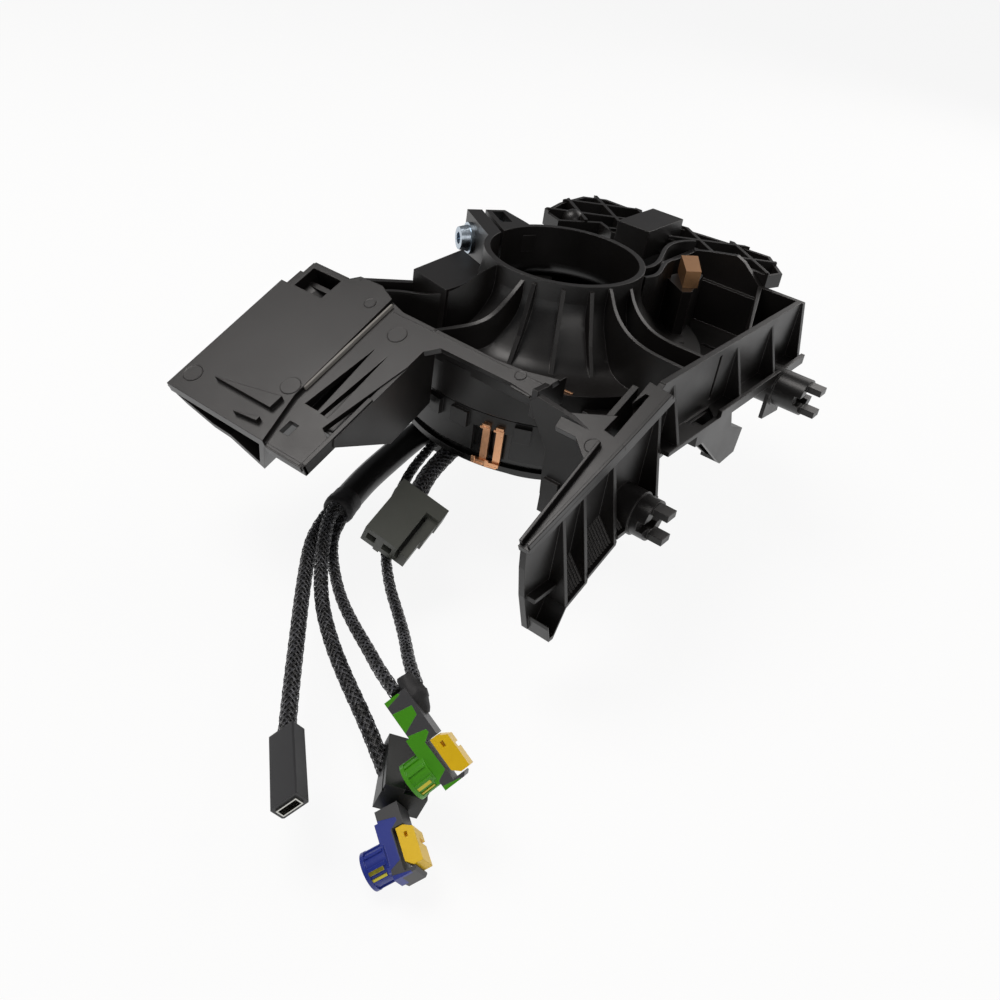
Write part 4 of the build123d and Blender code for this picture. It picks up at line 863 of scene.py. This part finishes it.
def soft_finish(name, dark, light, roughness, weave, relief):
    """Tape or sleeve: two close tones, a weave or wrinkle size and its relief in mm."""
    material, tree, shader, place = new_material(name)
    cloth = add_node(
        tree, "ShaderNodeTexNoise",
        [("Vector", place), ("Scale", 1 / (weave * MM)), ("Detail", 3.0)],
    )
    patch = add_node(
        tree, "ShaderNodeTexNoise", [("Vector", place), ("Scale", 1 / (6 * MM)), ("Detail", 3.0)]
    )
    tone = add_node(
        tree, "ShaderNodeMix",
        [("Factor", patch.outputs["Fac"]), (6, linear(dark)), (7, linear(light))],
        data_type="RGBA",
    )
    bump = add_node(
        tree, "ShaderNodeBump",
        [("Height", cloth.outputs["Fac"]), ("Distance", relief * MM), ("Strength", 0.6)],
    )
    tree.links.new(tone.outputs[2], shader.inputs["Base Color"])
    tree.links.new(bump.outputs["Normal"], shader.inputs["Normal"])
    shader.inputs["Roughness"].default_value = roughness
    return material


sleeve_pvc = soft_finish("black_pvc_sleeve", "#131313", "#1f1e1e", 0.34, 2.2, 0.10)
cloth_tape = soft_finish("black_cloth_tape", "#161617", "#252426", 0.62, 0.5, 0.08)
ribbon_film = soft_finish("polyester_ribbon_film", "#cfcabd", "#dedacf", 0.30, 4.0, 0.02)
print("soft finishes made: 5")

# %% [markdown]
# ## Giving each piece its finish
# A CAD node comes with one plain material, which is swapped for the finished one. New
# pieces take theirs in the same way.

# %% Assign materials
FINISHES = {
    housing_pbt: [
        "housing", "rear_grid", "ejector_marks", "panel_ridges", "housing_webs", "bore_pad",
        "deck_rims",
    ],
    pale_bead_pbt: ["pale_step_bead"],
    carrier_pbt: ["contact_carrier", "catch_lever"],
    drum_pom: ["stator_case", "stator_rim", "rotor_hub", "rotor_ring", "rotor_cover"],
    zinc: ["clamp_screw", "clamp_washer", "clamp_nut", "case_screws"],
    bronze: ["contact_block"],
    copper: ["contact_left", "contact_right", "contact_end", "contact_feet"],
    tinned: ["slim_shell", "grey_terminals"],
    blade_brass: ["green_blades", "blue_blades"],
    ribbon_film: ["ribbon_cable"],
    slim_abs: ["slim_plug"],
    grey_pa: ["grey_plug", "grey_latch_web"],
    shell_grey: ["green_shell", "blue_shell"],
    green_pbt: ["green_core", "green_nose_ribs"],
    blue_pbt: ["blue_core", "blue_nose_ribs"],
    yellow_pbt: ["green_lock", "blue_lock"],
    coupler_pa: ["coupler"],
    sleeve_pvc: ["sleeve_tube"],
    cloth_tape: ["cuff_wrap", "tape_wrap_layers"],
}
for material, names in FINISHES.items():
    for name in names:
        made = nodes.get(name) or bpy.data.objects[name]
        if made.material_slots:
            for holder in made.material_slots:
                holder.material = material
        else:
            made.data.materials.append(material)
for piece in braid_pieces.values():
    piece.data.materials.append(core_black)
    piece.data.materials.append(yarn_black)
print("finished pieces:", sum(len(names) for names in FINISHES.values()) + len(braid_pieces))

# %% [markdown]
# ## Floor
# The part shows on plain white. A white floor in the same light would come out grey, so
# most of what the camera and glossy surfaces see of it is a steady white, and the rest is
# a real diffuse floor that keeps the shadow.

# %% Floor
FLOOR_GAP = 0.4 * MM
FLOOR_HALF = 8.0  # metres from its middle to its edge
STEADY_WHITE = 0.9  # share of the steady white in what is seen of the floor
part_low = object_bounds()[0]
floor_z = min(part_low.z, cad_low.z) - FLOOR_GAP
floor_build = bmesh.new()
bmesh.ops.create_grid(floor_build, x_segments=1, y_segments=1, size=FLOOR_HALF)
bmesh.ops.translate(floor_build, vec=(0, 0, floor_z), verts=floor_build.verts)
floor_mesh = bpy.data.meshes.new("floor")
floor_build.to_mesh(floor_mesh)
floor_build.free()
floor = bpy.data.objects.new("floor", floor_mesh)
bpy.context.scene.collection.objects.link(floor)
floor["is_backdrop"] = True

paper, paper_tree, paper_shader, _ = new_material("white_paper_floor")
paper_shader.inputs["Base Color"].default_value = linear("#fbfbfa")
paper_shader.inputs["Roughness"].default_value = 0.9
paper_shader.inputs["Specular IOR Level"].default_value = 0.0
ray = add_node(paper_tree, "ShaderNodeLightPath")
seen = add_node(
    paper_tree, "ShaderNodeMath",
    [(0, ray.outputs["Is Camera Ray"]), (1, ray.outputs["Is Glossy Ray"])],
    operation="MAXIMUM",
)
share = add_node(
    paper_tree, "ShaderNodeMath",
    [(0, seen.outputs[0]), (1, STEADY_WHITE)],
    operation="MULTIPLY",
)
white = add_node(paper_tree, "ShaderNodeEmission", [("Color", (1, 1, 1, 1)), ("Strength", 1.0)])
mixed = add_node(
    paper_tree, "ShaderNodeMixShader",
    [(0, share.outputs[0]), (1, paper_shader.outputs["BSDF"]), (2, white.outputs["Emission"])],
)
paper_tree.links.new(mixed.outputs[0], paper_tree.nodes["Material Output"].inputs["Surface"])
floor_mesh.materials.append(paper)
print("floor at", round(floor_z / MM, 1), "mm")

# %% [markdown]
# ## Lamps and world
# Three large lamps give soft light: the key from above on the left, a fill from the right
# and one from behind. A small lamp would draw hard shadows in every pocket, so each
# is over half a metre wide. The world fills the shadows faintly, and only the camera sees
# it white.

# %% Lamps and world
SKY_LEVEL = 0.18
LAMPS = (  # name, place in metres, side length, watts
    ("key", (-0.38, -0.24, 0.82), 0.55, 5.6),
    ("fill", (0.75, -0.45, 0.40), 0.60, 1.5),
    ("back", (0.15, 0.80, 0.45), 0.70, 3.2),
)
WARM = (1.0, 0.965, 0.94)
centre = (cad_low + cad_high) / 2
for name, at, side, watts in LAMPS:
    lamp_data = bpy.data.lights.new(name, "AREA")
    lamp_data.shape = "SQUARE"
    lamp_data.size = side
    lamp_data.energy = watts
    lamp_data.color = WARM
    lamp = bpy.data.objects.new(name, lamp_data)
    lamp.location = at
    aim = centre - Vector(at)
    lamp.rotation_euler = aim.to_track_quat("-Z", "Y").to_euler()
    bpy.context.scene.collection.objects.link(lamp)
world = bpy.data.worlds.new("studio")
world.use_nodes = True
sky_tree = world.node_tree
sky = sky_tree.nodes["Background"]
sky.inputs["Color"].default_value = linear("#f4f5f8")
sky_ray = add_node(sky_tree, "ShaderNodeLightPath")
sky_level = add_node(
    sky_tree, "ShaderNodeMapRange",
    [("Value", sky_ray.outputs["Is Camera Ray"]), ("To Min", SKY_LEVEL), ("To Max", 1.0)],
)
sky_tree.links.new(sky_level.outputs["Result"], sky.inputs["Strength"])
bpy.context.scene.world = world
bpy.context.scene.view_settings.view_transform = "Standard"
print("lamps:", len(LAMPS))

# %% [markdown]
# ## Finish
# The box of the dressed part is kept beside the frame's own box, to show that the looks
# didn't change the size.

# %% Sizes and finish
end_low, end_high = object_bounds()
cad_sides, end_sides = (*cad_low, *cad_high), (*end_low, *end_high)
change = max(abs(before - after) for before, after in zip(cad_sides, end_sides))
print("largest change of the box:", round(change / MM, 2), "mm")
